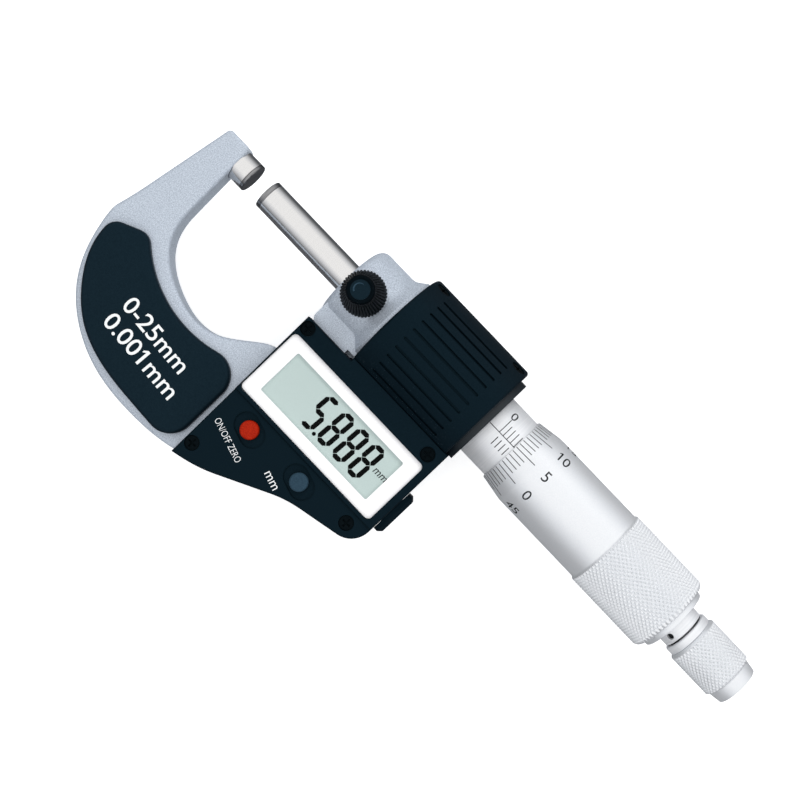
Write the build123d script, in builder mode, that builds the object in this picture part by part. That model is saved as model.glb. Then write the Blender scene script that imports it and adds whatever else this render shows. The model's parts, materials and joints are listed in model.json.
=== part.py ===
from build123d import *
import math
import os

# Digital outside micrometer, millimetres.
# The origin is the centre of the anvil's measuring face. +X runs along the spindle towards the thimble,
# the bow and the display hang towards -Y, and +Z comes out of the front of the display.

# ---- Measuring range, thread and fits ----
measuring_range = 25.0
rest_opening = 4.05
close_travel = rest_opening
open_travel = measuring_range - rest_opening
thread_pitch = 0.5
running_gap = 0.03
slide_gap = 0.08
seat_gap = 0.01
wall_gap = 0.05

# ---- Anvil and spindle ----
spindle_radius = 3.25
carbide_length = 1.1
anvil_reach = 4.05
anvil_tip_length = 0.8
anvil_shank_radius = 2.2
anvil_shank_length = 4.6
spindle_stub = 3.3
keyway_width = 1.3
keyway_floor = 2.35
key_clearance = 0.05

# ---- Frame ----
frame_thickness = 7.0
leg_width = 5.7
leg_top = 3.65
leg_slope = 0.175
throat_depth = 27.0
bow_depth = 49.9
frame_edge = 0.8
boss_radius = 9.2
boss_length = 12.2
boss_round = 2.0
tube_radius = 10.9
tube_back_flat = 10.15
tube_overhang = 1.4
neck_half_depth = 6.3

# ---- Encoder ----
cover_radius = 13.0
cover_length = 26.0
cover_bore_gap = 0.05
cover_end_wall = 4.5
rib_count = 10
rib_step = 10.4
rib_first = -42.0
rib_width = 0.6
rib_depth = 0.45
rib_inset = 4.2
encoder_bore = 9.6
hub_radius = 4.9
disc_thickness = 1.6
disc_gap = 0.4

# ---- Display housing ----
housing_offset = 0.4
housing_top = 10.7
cover_seat = 9.8
housing_front = 8.5
panel_drop = 0.5
panel_line = 30.85
back_plane = 11.5
shell_wall = 1.6
front_wall = 1.9
window_size = (36.3, 15.1)
window_centre = (47.35, -22.25)
glass_size = (29.8, 10.3)
lens_thickness = 0.5
mask_thickness = 0.6
lcd_thickness = 1.9
board_lift = 0.5
board_thickness = 1.0
button_radius = 1.9
button_stand = 0.9
button_travel = 0.4
button_slot = (7.6, 5.2)
button_tilt = -17.0
battery_radius = 5.8
battery_height = 5.4
battery_centre = (47.5, -23.5)
cap_radius = 7.0
cap_thickness = 1.7
screw_radius = 0.9
screw_head = 1.45
screw_post_radius = 1.7

# ---- Insulating plates ----
plate_thickness = 1.8
plate_edge = 0.9

# ---- Sleeve, barrel and thimble ----
sleeve_radius = 7.3
barrel_radius = 5.5
thread_radius = 3.6
zero_beyond_tube = 2.9
sleeve_beyond_scale = 8.2
barrel_end_gap = 5.5
thimble_clearance = 0.1
thimble_lip = 0.3
thimble_wall_thickness = 1.2
knurl_height = 0.43
bevel_length = 5.55
plain_length = 21.1
knurl_length = 18.9
flange_length = 1.2
flange_radius = 7.25
end_wall = 4.1
tail_radius = 3.0

# ---- Ratchet ----
neck_radius = 4.5
neck_length = 2.7
ratchet_gap = 0.4
collar_radius = 5.0
collar_length = 1.9
ratchet_radius = 5.55
ratchet_grip = 10.35
ratchet_taper = 2.75
ratchet_end_radius = 4.6
post_radius = 2.2
ratchet_bore = 4.2
stud_radius = 1.5

# ---- Lock ----
lock_offset = 4.8
lock_base_radius = 4.65
lock_top_radius = 2.55
lock_base = 8.75
lock_top = 17.8
lock_screw_radius = 2.0
lock_turn = 90.0
lock_clearance = 0.03

# ---- Places worked out from the sizes above ----
half = frame_thickness / 2
boss_front = measuring_range + spindle_stub
cover_front = boss_front + boss_length
cover_back = cover_front + cover_length
tube_end = cover_back + tube_overhang
housing_left = boss_front + housing_offset
housing_right = cover_back + 0.7
plate_join = housing_left + 2.7
lock_x = boss_front + lock_offset
cavity_front = cover_front + cover_end_wall
cavity_back = cover_back - cover_end_wall + 0.5
zero_mark = tube_end + zero_beyond_tube
thimble_bore = sleeve_radius + thimble_clearance
thimble_edge_radius = thimble_bore + thimble_lip
thimble_radius = thimble_bore + thimble_wall_thickness
knurl_radius = thimble_radius + knurl_height
thimble_edge = zero_mark + rest_opening
thimble_knurl = thimble_edge + bevel_length + plain_length
thimble_flange = thimble_knurl + knurl_length
thimble_end = thimble_flange + flange_length
thimble_wall = thimble_end - end_wall
barrel_end = thimble_wall - barrel_end_gap
sleeve_end = zero_mark + measuring_range + sleeve_beyond_scale
neck_end = thimble_end + neck_length
collar_start = neck_end + ratchet_gap
grip_start = collar_start + collar_length
grip_end = grip_start + ratchet_grip
ratchet_end = grip_end + ratchet_taper
leg_face = -anvil_reach
arch_shift = measuring_range - 25.0
display_shift = cover_back - 66.5
panel_front = housing_front - panel_drop
cavity_top = housing_front - front_wall
board_back = half + board_lift
board_front = board_back + board_thickness

os.makedirs("parts", exist_ok=True)


def ring(start, end, outer, inner=0.0, mode=Mode.ADD):
    """A disc, or a ring, about the spindle axis between two places on that axis."""
    with BuildSketch(Plane.YZ.offset(start)) as section:
        Circle(outer)
        if inner > 0:
            Circle(inner, mode=Mode.SUBTRACT)
    extrude(section.sketch, amount=end - start, mode=mode)


def post(centre, low, high, outer, inner=0.0, mode=Mode.ADD):
    """A round post, or a tube, along Z at one place."""
    with BuildSketch(Plane.XY.offset(low)) as section:
        with Locations(centre):
            Circle(outer)
            if inner > 0:
                Circle(inner, mode=Mode.SUBTRACT)
    extrude(section.sketch, amount=high - low, mode=mode)


def block(low, high, mode=Mode.ADD):
    """A square-cornered block between its lowest and highest corners."""
    middle = [(a + b) / 2 for a, b in zip(low, high)]
    size = [b - a for a, b in zip(low, high)]
    with BuildSketch(Plane.XY.offset(low[2])) as section:
        with Locations((middle[0], middle[1])):
            Rectangle(size[0], size[1])
    extrude(section.sketch, amount=size[2], mode=mode)


def turned(*profile):
    """A profile of (place, radius) points closed onto the spindle axis and turned about it."""
    with BuildSketch(Plane.XY) as section:
        with BuildLine():
            Polyline((profile[0][0], 0), *profile, (profile[-1][0], 0), close=True)
        make_face()
    revolve(section.sketch, axis=Axis.X)


def radial_seat(place, degrees, height):
    """A plane that faces straight out from the spindle axis, at an angle from +Z towards +Y."""
    tilt = math.radians(degrees)
    outward = (0, math.sin(tilt), math.cos(tilt))
    return Plane(origin=(place, 0, 0), x_dir=(1, 0, 0), z_dir=outward).offset(height)


def cross_screw(seat, length):
    """A cross-recess screw: head above the seat plane, shank below it."""
    head_height = 0.85
    recess = 0.45
    with BuildSketch(seat) as head:
        Circle(screw_head)
    extrude(head.sketch, amount=head_height)
    with BuildSketch(seat.offset(head_height - recess)) as cross:
        Rectangle(1.9, 0.4)
        Rectangle(0.4, 1.9)
    extrude(cross.sketch, amount=1, mode=Mode.SUBTRACT)
    with BuildSketch(seat) as shank:
        Circle(screw_radius - seat_gap)
    extrude(shank.sketch, amount=-length)


def finish(piece, name):
    """Label a finished piece and write its STEP file."""
    piece.label = name
    export_step(piece, "parts/" + name + ".step")


def housing_face(inset):
    """The display housing's outline, seen from the front, drawn in by an inset."""
    left = housing_left
    right = housing_right
    step = cover_front + 0.2
    side_end = -31.2
    shelf_length = 8.8
    slope_left = left + 9.8
    with BuildSketch() as face:
        with BuildLine():
            side = Line((right, -cover_seat), (right, side_end))
            corner = JernArc(side @ 1, (0, -1), 5.0, -78)
            shelf = Line(corner @ 1, corner @ 1 + (corner % 1) * shelf_length)
            bend = JernArc(shelf @ 1, shelf % 1, 25, 15)
            slope_length = ((bend @ 1).X - slope_left) / -(bend % 1).X
            slope = Line(bend @ 1, bend @ 1 + (bend % 1) * slope_length)
            toe = JernArc(slope @ 1, slope % 1, 33, -14)
            tip_length = ((toe @ 1).X - left - 0.4) / -(toe % 1).X
            tip = Line(toe @ 1, toe @ 1 + (toe % 1) * tip_length)
            Polyline(tip @ 1, (left, -housing_top), (step, -housing_top), (step, -cover_seat), side @ 0)
        make_face()
        if inset > 0:
            offset(amount=-inset, kind=Kind.INTERSECTION)
    return face.sketch


def plate_face():
    """The outline of an insulating plate: it follows the bow between the leg and the display."""
    corner_leg = (-12.7, -25.6)
    corner_throat = (-5.4, -22.3)
    corner_top = (27.5 + arch_shift, -25.7)
    corner_bottom = (27.5 + arch_shift, -48.4)
    outer_middle = (-2.0, -bow_depth + 6.0)
    end_round = 5.2
    leg_round = 3.2
    with BuildSketch() as face:
        with BuildLine():
            Line(corner_leg, corner_throat)
            ThreePointArc(corner_throat, (10.7 + arch_shift / 2, -throat_depth - 2.8), corner_top)
            Line(corner_top, corner_bottom)
            Spline(
                corner_bottom,
                (18.0 + arch_shift, -48.1),
                (8.0 + arch_shift / 2, -47.3),
                outer_middle,
                (-9.0, -37.3),
                corner_leg,
                tangents=[(-1, 0), (0.05, 1)],
            )
        make_face()
        fillet(face.vertices().sort_by(Axis.X)[-2:], radius=end_round)
        fillet(face.vertices().sort_by(Axis.Y)[-2:], radius=leg_round)
    return face.sketch


# ---- Frame: bow, boss, encoder tube and the web behind the display ----
lock_hole = lock_screw_radius + wall_gap
bush_radius = spindle_radius + 1.35
front_screws = [
    (housing_left + 1.7, -12.5),
    (housing_right - 3.0, -12.5),
    (housing_right - 4.3, -33.2),
    (housing_left + 2.1, -44.3),
]
rear_screws = [
    (housing_left + 5.2, -14.2),
    (housing_right - 6.4, -14.2),
    (housing_right - 8.4, -32.2),
    (housing_left + 5.4, -42.4),
]
cover_screw_places = [cover_front + 2.5, cover_back - 2.3]
cover_screw_angle = 68.0
port_centre = -25.6
port_half = (3.0, 2.0)

with BuildPart() as frame:
    with BuildSketch(Plane.XY.offset(-half)):
        with BuildLine():
            Line((leg_face - leg_width, leg_top), (leg_face, leg_top))
            Line((leg_face, leg_top), (leg_face + 0.6, -14.0))
            Spline(
                (leg_face + 0.6, -14.0),
                (-0.6, -21.9),
                (7.2 + arch_shift / 4, -throat_depth + 0.4),
                (boss_front - 9.5, -throat_depth + 0.8),
                (boss_front - 0.4, -20.1),
                (boss_front + 0.8, -14.0),
                tangents=[(0.04, -1), (0, 1)],
            )
            Line((boss_front + 0.8, -14.0), (boss_front + 0.8, -boss_radius + 1.0))
            Line((boss_front + 0.8, -boss_radius + 1.0), (plate_join, -boss_radius + 1.0))
            Line((plate_join, -boss_radius + 1.0), (plate_join, -bow_depth + 2.4))
            Spline(
                (plate_join, -bow_depth + 2.4),
                (boss_front - 1.5, -bow_depth + 1.0),
                (17.0 + arch_shift / 2, -bow_depth),
                (5.6, -bow_depth + 1.2),
                (-5.7, -bow_depth + 6.9),
                (-12.8, -32.9),
                (-14.75, -24.5),
                (leg_face - leg_width - 3.4, -16.0),
                tangents=[(-1, -0.4), (leg_slope, 1)],
            )
            Line((leg_face - leg_width - 3.4, -16.0), (leg_face - leg_width, leg_top))
        make_face()
        fillet(vertices().group_by(Axis.Y)[-1], radius=1.0)
    extrude(amount=frame_thickness)
    rims = edges().group_by(Axis.Z)
    fillet(rims[0] + rims[-1], radius=frame_edge)
    with BuildSketch(Plane.XY.offset(-half)):
        add(housing_face(shell_wall + 0.1))
        with Locations((plate_join - 11, -30)):
            Rectangle(20, 60, mode=Mode.SUBTRACT)
    extrude(amount=frame_thickness)
    block((cover_front, -housing_top - 2.5, -half), (cover_back - 1.2, -cover_seat + 2, half))
    with BuildSketch(Plane.XY):
        with BuildLine():
            Polyline(
                (boss_front, 0),
                (boss_front, boss_radius),
                (cover_front - 3.0, boss_radius),
                (cover_front - 0.8, tube_radius),
                (tube_end, tube_radius),
                (tube_end, 0),
                close=True,
            )
        make_face()
        fillet(vertices().filter_by_position(Axis.X, boss_front, boss_front).sort_by(Axis.Y)[-1], boss_round)
        fillet(vertices().filter_by_position(Axis.X, cover_front - 3.1, cover_front - 2.9), 2.5)
    revolve(axis=Axis.X)
    with BuildSketch(Plane.XY.offset(-neck_half_depth)):
        neck_middle = (boss_front + 0.7 + cover_front) / 2
        with Locations((neck_middle, (-housing_top + wall_gap - 4.0) / 2)):
            RectangleRounded(cover_front - boss_front - 0.7, housing_top - wall_gap - 4.0, 1.2)
    extrude(amount=2 * neck_half_depth)
    for side in (1, -1):
        low = half if side > 0 else -cover_radius
        high = cover_radius if side > 0 else -half
        block(
            (cover_front - 2, -tube_radius - 1, low),
            (tube_end + 1, -cover_seat + wall_gap, high),
            mode=Mode.SUBTRACT,
        )
    block(
        (cover_back - 1.15, -tube_radius - 1, -cover_radius),
        (tube_end + 1, -cover_seat + wall_gap, cover_radius),
        mode=Mode.SUBTRACT,
    )
    block(
        (cover_front - 6, -tube_radius - 1, -tube_radius - 1),
        (tube_end + 1, tube_radius + 1, -tube_back_flat),
        mode=Mode.SUBTRACT,
    )
    ring(cavity_front, cavity_back, encoder_bore, mode=Mode.SUBTRACT)
    block(
        (cavity_front, -5.0, -tube_radius - 1),
        (cavity_back, tube_radius + 1, tube_radius + 1),
        mode=Mode.SUBTRACT,
    )
    ring(boss_front - 1, cavity_front + 1, bush_radius, mode=Mode.SUBTRACT)
    ring(cavity_back - 1, tube_end + 1, barrel_radius, mode=Mode.SUBTRACT)
    ring(leg_face - anvil_shank_length, leg_face + 1, anvil_shank_radius, mode=Mode.SUBTRACT)
    ring(leg_face, leg_face + 1, spindle_radius + 0.2, mode=Mode.SUBTRACT)
    post((lock_x, 0), spindle_radius, boss_radius + 1, lock_hole, mode=Mode.SUBTRACT)
    post((lock_x, 0), lock_base - 0.1, boss_radius + 1, lock_base_radius + 0.4, mode=Mode.SUBTRACT)
    for place in front_screws:
        post(place, 0.3, half + 1, screw_radius, mode=Mode.SUBTRACT)
    for place in rear_screws:
        post(place, -half - 1, -0.3, screw_radius, mode=Mode.SUBTRACT)
    for place in cover_screw_places:
        with BuildSketch(radial_seat(place, cover_screw_angle, 7.0)):
            Circle(screw_radius)
        extrude(amount=cover_radius, mode=Mode.SUBTRACT)
    for side in (-1, 1):
        contact_place = (battery_centre[0] + side * 4.4 + display_shift, battery_centre[1])
        post(contact_place, -half - 1, half + 1, 1.2, mode=Mode.SUBTRACT)
    block(
        (housing_right - 6.0, port_centre - port_half[0] - 0.4, -port_half[1] - 0.4),
        (housing_right, port_centre + port_half[0] + 0.4, port_half[1] + 0.4),
        mode=Mode.SUBTRACT,
    )
finish(frame.part, "frame")

# ---- Anvil and its carbide face ----
with BuildPart() as anvil:
    ring(leg_face, -anvil_tip_length, spindle_radius)
    ring(leg_face - anvil_shank_length, leg_face, anvil_shank_radius - seat_gap)
finish(anvil.part, "anvil")

with BuildPart() as anvil_tip:
    ring(-anvil_tip_length, 0, spindle_radius)
finish(anvil_tip.part, "anvil_tip")

# ---- Insulating plates on both faces of the bow ----
with BuildPart() as front_plate:
    with BuildSketch(Plane.XY.offset(half)):
        add(plate_face())
    extrude(amount=plate_thickness)
    fillet(edges().group_by(Axis.Z)[-1], plate_edge)
finish(front_plate.part, "front_insulating_plate")

with BuildPart() as rear_plate:
    with BuildSketch(Plane.XY.offset(-half)):
        add(plate_face())
    extrude(amount=-plate_thickness)
    fillet(edges().group_by(Axis.Z)[0], plate_edge)
finish(rear_plate.part, "rear_insulating_plate")

# ---- Spindle bush in the boss ----
with BuildPart() as spindle_bush:
    ring(boss_front + 0.4, cavity_front - 0.4, bush_radius - seat_gap, spindle_radius + running_gap)
    post((lock_x, 0), 0, boss_radius, lock_hole, mode=Mode.SUBTRACT)
finish(spindle_bush.part, "spindle_bush")

# ---- Lock: knob, screw and the shoe that bears on the spindle ----
shoe_drop = thread_pitch * lock_turn / 360
shoe_bottom = spindle_radius + lock_clearance + shoe_drop
shoe_top = shoe_bottom + 1.6

with BuildPart() as lock_knob:
    with BuildSketch(Plane.XZ):
        with BuildLine():
            Polyline(
                (lock_x, lock_base),
                (lock_x + lock_base_radius, lock_base),
                (lock_x + lock_base_radius, lock_base + 1.2),
                (lock_x + lock_top_radius + 0.3, lock_top - 0.4),
                (lock_x + lock_top_radius, lock_top),
                (lock_x, lock_top),
                close=True,
            )
        make_face()
    revolve(axis=Axis((lock_x, 0, 0), (0, 0, 1)))
    post((lock_x, 0), lock_base, lock_base + 4.0, lock_screw_radius, mode=Mode.SUBTRACT)
finish(lock_knob.part, "lock_knob")

with BuildPart() as lock_screw:
    post((lock_x, 0), shoe_top + seat_gap, lock_base + 4.0, lock_screw_radius - seat_gap)
finish(lock_screw.part, "lock_screw")

with BuildPart() as lock_shoe:
    post((lock_x, 0), 0, shoe_top, lock_screw_radius - wall_gap)
    ring(lock_x - 5, lock_x + 5, shoe_bottom, mode=Mode.SUBTRACT)
finish(lock_shoe.part, "lock_shoe")

# ---- Encoder: cover, screws, stator, rotor, key, bearing plate and clip ----
cover_bore = tube_radius + cover_bore_gap
with BuildPart() as encoder_cover:
    with BuildSketch(Plane.YZ.offset(cover_front)):
        Circle(cover_radius)
        with Locations((-cover_seat / 2, -back_plane / 2)):
            Rectangle(cover_seat, back_plane)
        with BuildSketch(mode=Mode.SUBTRACT):
            Circle(cover_bore)
            with Locations((0, -tube_back_flat - cover_bore_gap - 10)):
                Rectangle(60, 20, mode=Mode.SUBTRACT)
        with Locations((0, -back_plane - 10)):
            Rectangle(60, 20, mode=Mode.SUBTRACT)
        with Locations((-cover_seat + wall_gap - 10, 0)):
            Rectangle(20, 60, mode=Mode.SUBTRACT)
    extrude(amount=cover_length)
    rims = edges().group_by(Axis.X)
    end_circles = (rims[0] + rims[-1]).filter_by(GeomType.CIRCLE)
    fillet([rim for rim in end_circles if rim.radius > cover_bore + 1], 0.7)
    for index in range(rib_count):
        rib_middle = (cover_front + cover_back) / 2 + 0.35
        with BuildSketch(radial_seat(rib_middle, rib_first + rib_step * index, cover_radius + 0.5)):
            SlotOverall(cover_length - 2 * rib_inset + 0.3, rib_width)
        extrude(amount=-rib_depth - 0.5, mode=Mode.SUBTRACT)
    for place in cover_screw_places:
        with BuildSketch(radial_seat(place, cover_screw_angle, cover_radius - 1.1)):
            Circle(screw_head + 0.15)
        extrude(amount=3, mode=Mode.SUBTRACT)
        with BuildSketch(radial_seat(place, cover_screw_angle, cover_bore - 2)):
            Circle(screw_radius + wall_gap)
        extrude(amount=cover_radius - cover_bore + 2, mode=Mode.SUBTRACT)
finish(encoder_cover.part, "encoder_cover")


with BuildPart() as encoder_screws:
    for place in cover_screw_places:
        cross_screw(radial_seat(place, cover_screw_angle, cover_radius - 1.1), 4.0)
finish(encoder_screws.part, "encoder_cover_screws")

stator_start = cavity_front
disc_start = stator_start + disc_thickness + disc_gap
bearing_start = disc_start + disc_thickness + disc_gap
bearing_end = bearing_start + 2.0
clip_start = bearing_end + 0.1
hub_end = cavity_back - 0.6
key_start = hub_end - 4.0
key_end = key_start + 3.0
key_root = keyway_floor + 0.1

with BuildPart() as encoder_stator:
    ring(stator_start, stator_start + disc_thickness, encoder_bore - seat_gap, hub_radius + 0.7)
finish(encoder_stator.part, "encoder_stator")

with BuildPart() as encoder_rotor:
    ring(disc_start, disc_start + disc_thickness, encoder_bore - 0.7)
    ring(disc_start, hub_end, hub_radius)
    ring(disc_start - 1, hub_end + 1, spindle_radius + running_gap, mode=Mode.SUBTRACT)
    half_key = keyway_width / 2 - key_clearance
    block((key_start, -half_key, -hub_radius - 1), (key_end, half_key, 0), mode=Mode.SUBTRACT)
finish(encoder_rotor.part, "encoder_rotor")

with BuildPart() as rotor_key:
    block(
        (key_start + seat_gap, -half_key + seat_gap, -hub_radius + 0.3),
        (key_end - seat_gap, half_key - seat_gap, -key_root),
    )
finish(rotor_key.part, "rotor_key")

with BuildPart() as rotor_bearing_plate:
    ring(bearing_start, bearing_end, encoder_bore - seat_gap, hub_radius + running_gap)
finish(rotor_bearing_plate.part, "rotor_bearing_plate")

with BuildPart() as rotor_clip:
    ring(clip_start, clip_start + 0.8, hub_radius + 1.2, hub_radius + seat_gap)
finish(rotor_clip.part, "rotor_clip")

# ---- Spindle: measuring face, plain shaft with its keyway, thread and tail ----
thread_start = barrel_end - 14.0 - open_travel - 1.0
thread_end = barrel_end + close_travel - 1.4
stud_depth = 9.5
with BuildPart() as spindle:
    turned(
        (rest_opening + carbide_length, spindle_radius),
        (thread_start, spindle_radius),
        (thread_start, thread_radius),
        (thread_end, thread_radius),
        (thread_end, tail_radius),
        (thimble_end, tail_radius),
    )
    block(
        (key_start - open_travel - 0.5, -keyway_width / 2, -spindle_radius - 1),
        (key_end + close_travel + 0.5, keyway_width / 2, -keyway_floor),
        mode=Mode.SUBTRACT,
    )
    ring(thimble_end - stud_depth, thimble_end + 1, stud_radius, mode=Mode.SUBTRACT)
finish(spindle.part, "spindle")

with BuildPart() as spindle_tip:
    ring(rest_opening, rest_opening + carbide_length, spindle_radius)
finish(spindle_tip.part, "spindle_tip")

# ---- Barrel, sleeve and adjusting nut ----
with BuildPart() as barrel:
    ring(cavity_back, sleeve_end + 0.4, barrel_radius - seat_gap)
    ring(sleeve_end, barrel_end, barrel_radius - 0.4)
    ring(cavity_back - 1, tube_end + 2, spindle_radius + running_gap, mode=Mode.SUBTRACT)
    ring(tube_end + 2, barrel_end - 13.5, thread_radius + 0.35, mode=Mode.SUBTRACT)
    ring(barrel_end - 14, barrel_end + 1, thread_radius + running_gap, mode=Mode.SUBTRACT)
finish(barrel.part, "barrel")

with BuildPart() as sleeve:
    ring(tube_end, sleeve_end, sleeve_radius, barrel_radius)
finish(sleeve.part, "sleeve")

with BuildPart() as adjusting_nut:
    ring(sleeve_end + 0.5, barrel_end - 0.4, thimble_bore - 0.7, barrel_radius - 0.4 + seat_gap)
    for side in (-1, 1):
        block(
            (barrel_end - 1.9, side * 6.0 - 1.2, -0.8),
            (barrel_end, side * 6.0 + 1.2, 0.8),
            mode=Mode.SUBTRACT,
        )
finish(adjusting_nut.part, "adjusting_nut")

# ---- Thimble ----
with BuildPart() as thimble:
    turned(
        (thimble_edge, thimble_edge_radius),
        (thimble_edge + bevel_length, thimble_radius),
        (thimble_knurl, thimble_radius),
        (thimble_knurl + 0.25, knurl_radius),
        (thimble_flange - 0.8, knurl_radius),
        (thimble_flange - 0.2, knurl_radius - 0.5),
        (thimble_flange, flange_radius + 0.2),
        (thimble_flange, flange_radius),
        (thimble_end - 0.2, flange_radius),
        (thimble_end, flange_radius - 0.2),
    )
    ring(thimble_edge - 1, thimble_wall, thimble_bore, mode=Mode.SUBTRACT)
    ring(thimble_wall - 1, thimble_end + 1, tail_radius + seat_gap, mode=Mode.SUBTRACT)
finish(thimble.part, "thimble")

# ---- Ratchet: body with its neck, discs, spring, collar, knob and end screw ----
driving_start = collar_start + 0.3
driving_end = driving_start + 1.6
driven_start = driving_end + 0.3
driven_end = driven_start + 1.5
knob_wall = ratchet_end - 2.2
spring_start = driven_end + 0.1
spring_end = knob_wall - 0.2

with BuildPart() as ratchet_body:
    ring(thimble_end, neck_end, neck_radius)
    ring(neck_end, ratchet_end - 1.5, post_radius)
    ring(thimble_end - stud_depth + 0.4, thimble_end, stud_radius - seat_gap)
    spanner_angle = -38.0
    with BuildSketch(radial_seat((thimble_end + neck_end) / 2, spanner_angle, 0.4)):
        Circle(0.7)
    extrude(amount=neck_radius, mode=Mode.SUBTRACT)
    ring(ratchet_end - 6, ratchet_end, 1.0, mode=Mode.SUBTRACT)
finish(ratchet_body.part, "ratchet_body")

tooth_count = 12


def face_teeth(start, depth, inner, outer):
    """Cut a ring of radial slots into a disc face, leaving the ratchet teeth between them."""
    for index in range(tooth_count):
        turn = 2 * math.pi * index / tooth_count
        outward = (0, math.cos(turn), math.sin(turn))
        with BuildSketch(Plane(origin=(start, 0, 0), x_dir=outward, z_dir=(1, 0, 0))) as slot:
            with Locations(((inner + outer) / 2 + 0.3, 0)):
                Rectangle(outer - inner, 0.5)
        extrude(slot.sketch, amount=depth, mode=Mode.SUBTRACT)


with BuildPart() as ratchet_driving_disc:
    ring(driving_start, driving_end, ratchet_bore - 0.4, post_radius + seat_gap)
    face_teeth(driving_end - 0.4, 0.5, post_radius + 0.5, ratchet_bore)
finish(ratchet_driving_disc.part, "ratchet_driving_disc")

with BuildPart() as ratchet_driven_disc:
    ring(driven_start, driven_end, ratchet_bore - seat_gap, post_radius + running_gap)
    face_teeth(driven_start - 0.1, 0.5, post_radius + 0.5, ratchet_bore)
finish(ratchet_driven_disc.part, "ratchet_driven_disc")

with BuildPart() as ratchet_spring:
    coil_radius = 3.3
    wire_radius = 0.3
    coil_height = spring_end - spring_start - 2 * wire_radius
    with BuildLine():
        coil = Helix(
            pitch=coil_height / 5,
            height=coil_height,
            radius=coil_radius,
            center=(spring_start + wire_radius, 0, 0),
            direction=(1, 0, 0),
        )
    with BuildSketch(Plane(origin=coil @ 0, z_dir=coil % 0)):
        Circle(wire_radius)
    sweep(is_frenet=True)
finish(ratchet_spring.part, "ratchet_spring")

with BuildPart() as ratchet_collar:
    ring(collar_start, grip_start - 0.15, collar_radius, ratchet_bore)
finish(ratchet_collar.part, "ratchet_collar")

with BuildPart() as ratchet_knob:
    turned(
        (grip_start - 0.15, collar_radius),
        (grip_start, collar_radius),
        (grip_start + 0.3, ratchet_radius),
        (grip_end - 0.3, ratchet_radius),
        (grip_end, collar_radius),
        (ratchet_end - 0.3, ratchet_end_radius),
        (ratchet_end, ratchet_end_radius - 0.3),
    )
    ring(grip_start - 1, knob_wall, ratchet_bore, mode=Mode.SUBTRACT)
    ring(knob_wall - 1, ratchet_end, post_radius + running_gap, mode=Mode.SUBTRACT)
    ring(ratchet_end - 1.4, ratchet_end + 1, 3.3, mode=Mode.SUBTRACT)
finish(ratchet_knob.part, "ratchet_knob")

with BuildPart() as ratchet_end_screw:
    ring(ratchet_end - 1.3, ratchet_end - 0.2, 2.9)
    ring(ratchet_end - 5.5, ratchet_end - 1.3, 1.0 - seat_gap)
    block((ratchet_end - 0.7, -3.5, -0.35), (ratchet_end, 3.5, 0.35), mode=Mode.SUBTRACT)
finish(ratchet_end_screw.part, "ratchet_end_screw")

# ---- Display housing: front shell ----
window_opening = (window_size[0] + 0.1, window_size[1] + 0.1)
window_place = (window_centre[0] + display_shift, window_centre[1])
button_places = [(housing_left + 8.1, -34.4), (housing_left + 22.1, -34.4)]
screw_seat = panel_front - 1.2
shell_round = 0.45

with BuildPart() as front_shell:
    with BuildSketch(Plane.XY):
        add(housing_face(0))
    extrude(amount=panel_front)
    fillet(edges().group_by(Axis.Z)[-1], shell_round)
    with BuildSketch(Plane.XY.offset(cavity_top)):
        add(housing_face(0))
        with Locations(((housing_left + housing_right) / 2, -panel_line - 15)):
            Rectangle(60, 30, mode=Mode.SUBTRACT)
    extrude(amount=front_wall)
    fillet(edges().group_by(Axis.Z)[-1], shell_round)
    with BuildSketch(Plane.XY.offset(-1)):
        add(housing_face(shell_wall))
    extrude(amount=cavity_top + 1, mode=Mode.SUBTRACT)
    block((housing_left - 5, -60, -1), (plate_join + 0.1, 0, half), mode=Mode.SUBTRACT)
    block((housing_left - 5, -housing_top - 2.6, -1), (cover_back - 1.1, 0, half), mode=Mode.SUBTRACT)
    for place in front_screws:
        post(place, half, cavity_top + 0.5, screw_post_radius)
        post(place, screw_seat, housing_front + 1, screw_head + 0.1, mode=Mode.SUBTRACT)
        post(place, half - 1, housing_front, screw_radius + wall_gap, mode=Mode.SUBTRACT)
    with BuildSketch(Plane.XY.offset(cavity_top - 1)):
        with Locations(window_place):
            RectangleRounded(window_opening[0], window_opening[1], 1.0)
    extrude(amount=5, mode=Mode.SUBTRACT)
    for place in button_places:
        with BuildSketch(Plane.XY.offset(panel_front - 0.5)):
            with Locations(place):
                SlotOverall(button_slot[0], button_slot[1], rotation=button_tilt)
        extrude(amount=1, mode=Mode.SUBTRACT)
        post(place, cavity_top - 1, housing_front, button_radius + slide_gap, mode=Mode.SUBTRACT)
    block(
        (housing_right - 3, port_centre - port_half[0], -port_half[1]),
        (housing_right + 1, port_centre + port_half[0], port_half[1]),
        mode=Mode.SUBTRACT,
    )
finish(front_shell.part, "front_shell")

# ---- Display housing: rear shell with the battery well ----
battery_place = (battery_centre[0] + display_shift, battery_centre[1])
inner_back = -back_plane + shell_wall
cap_bottom = -back_plane + 0.05
cap_top = cap_bottom + cap_thickness
battery_bottom = cap_top + 0.1
battery_top = battery_bottom + battery_height
seal_shoulder = cap_top + 0.8
rear_seat = -back_plane + 1.1

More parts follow.
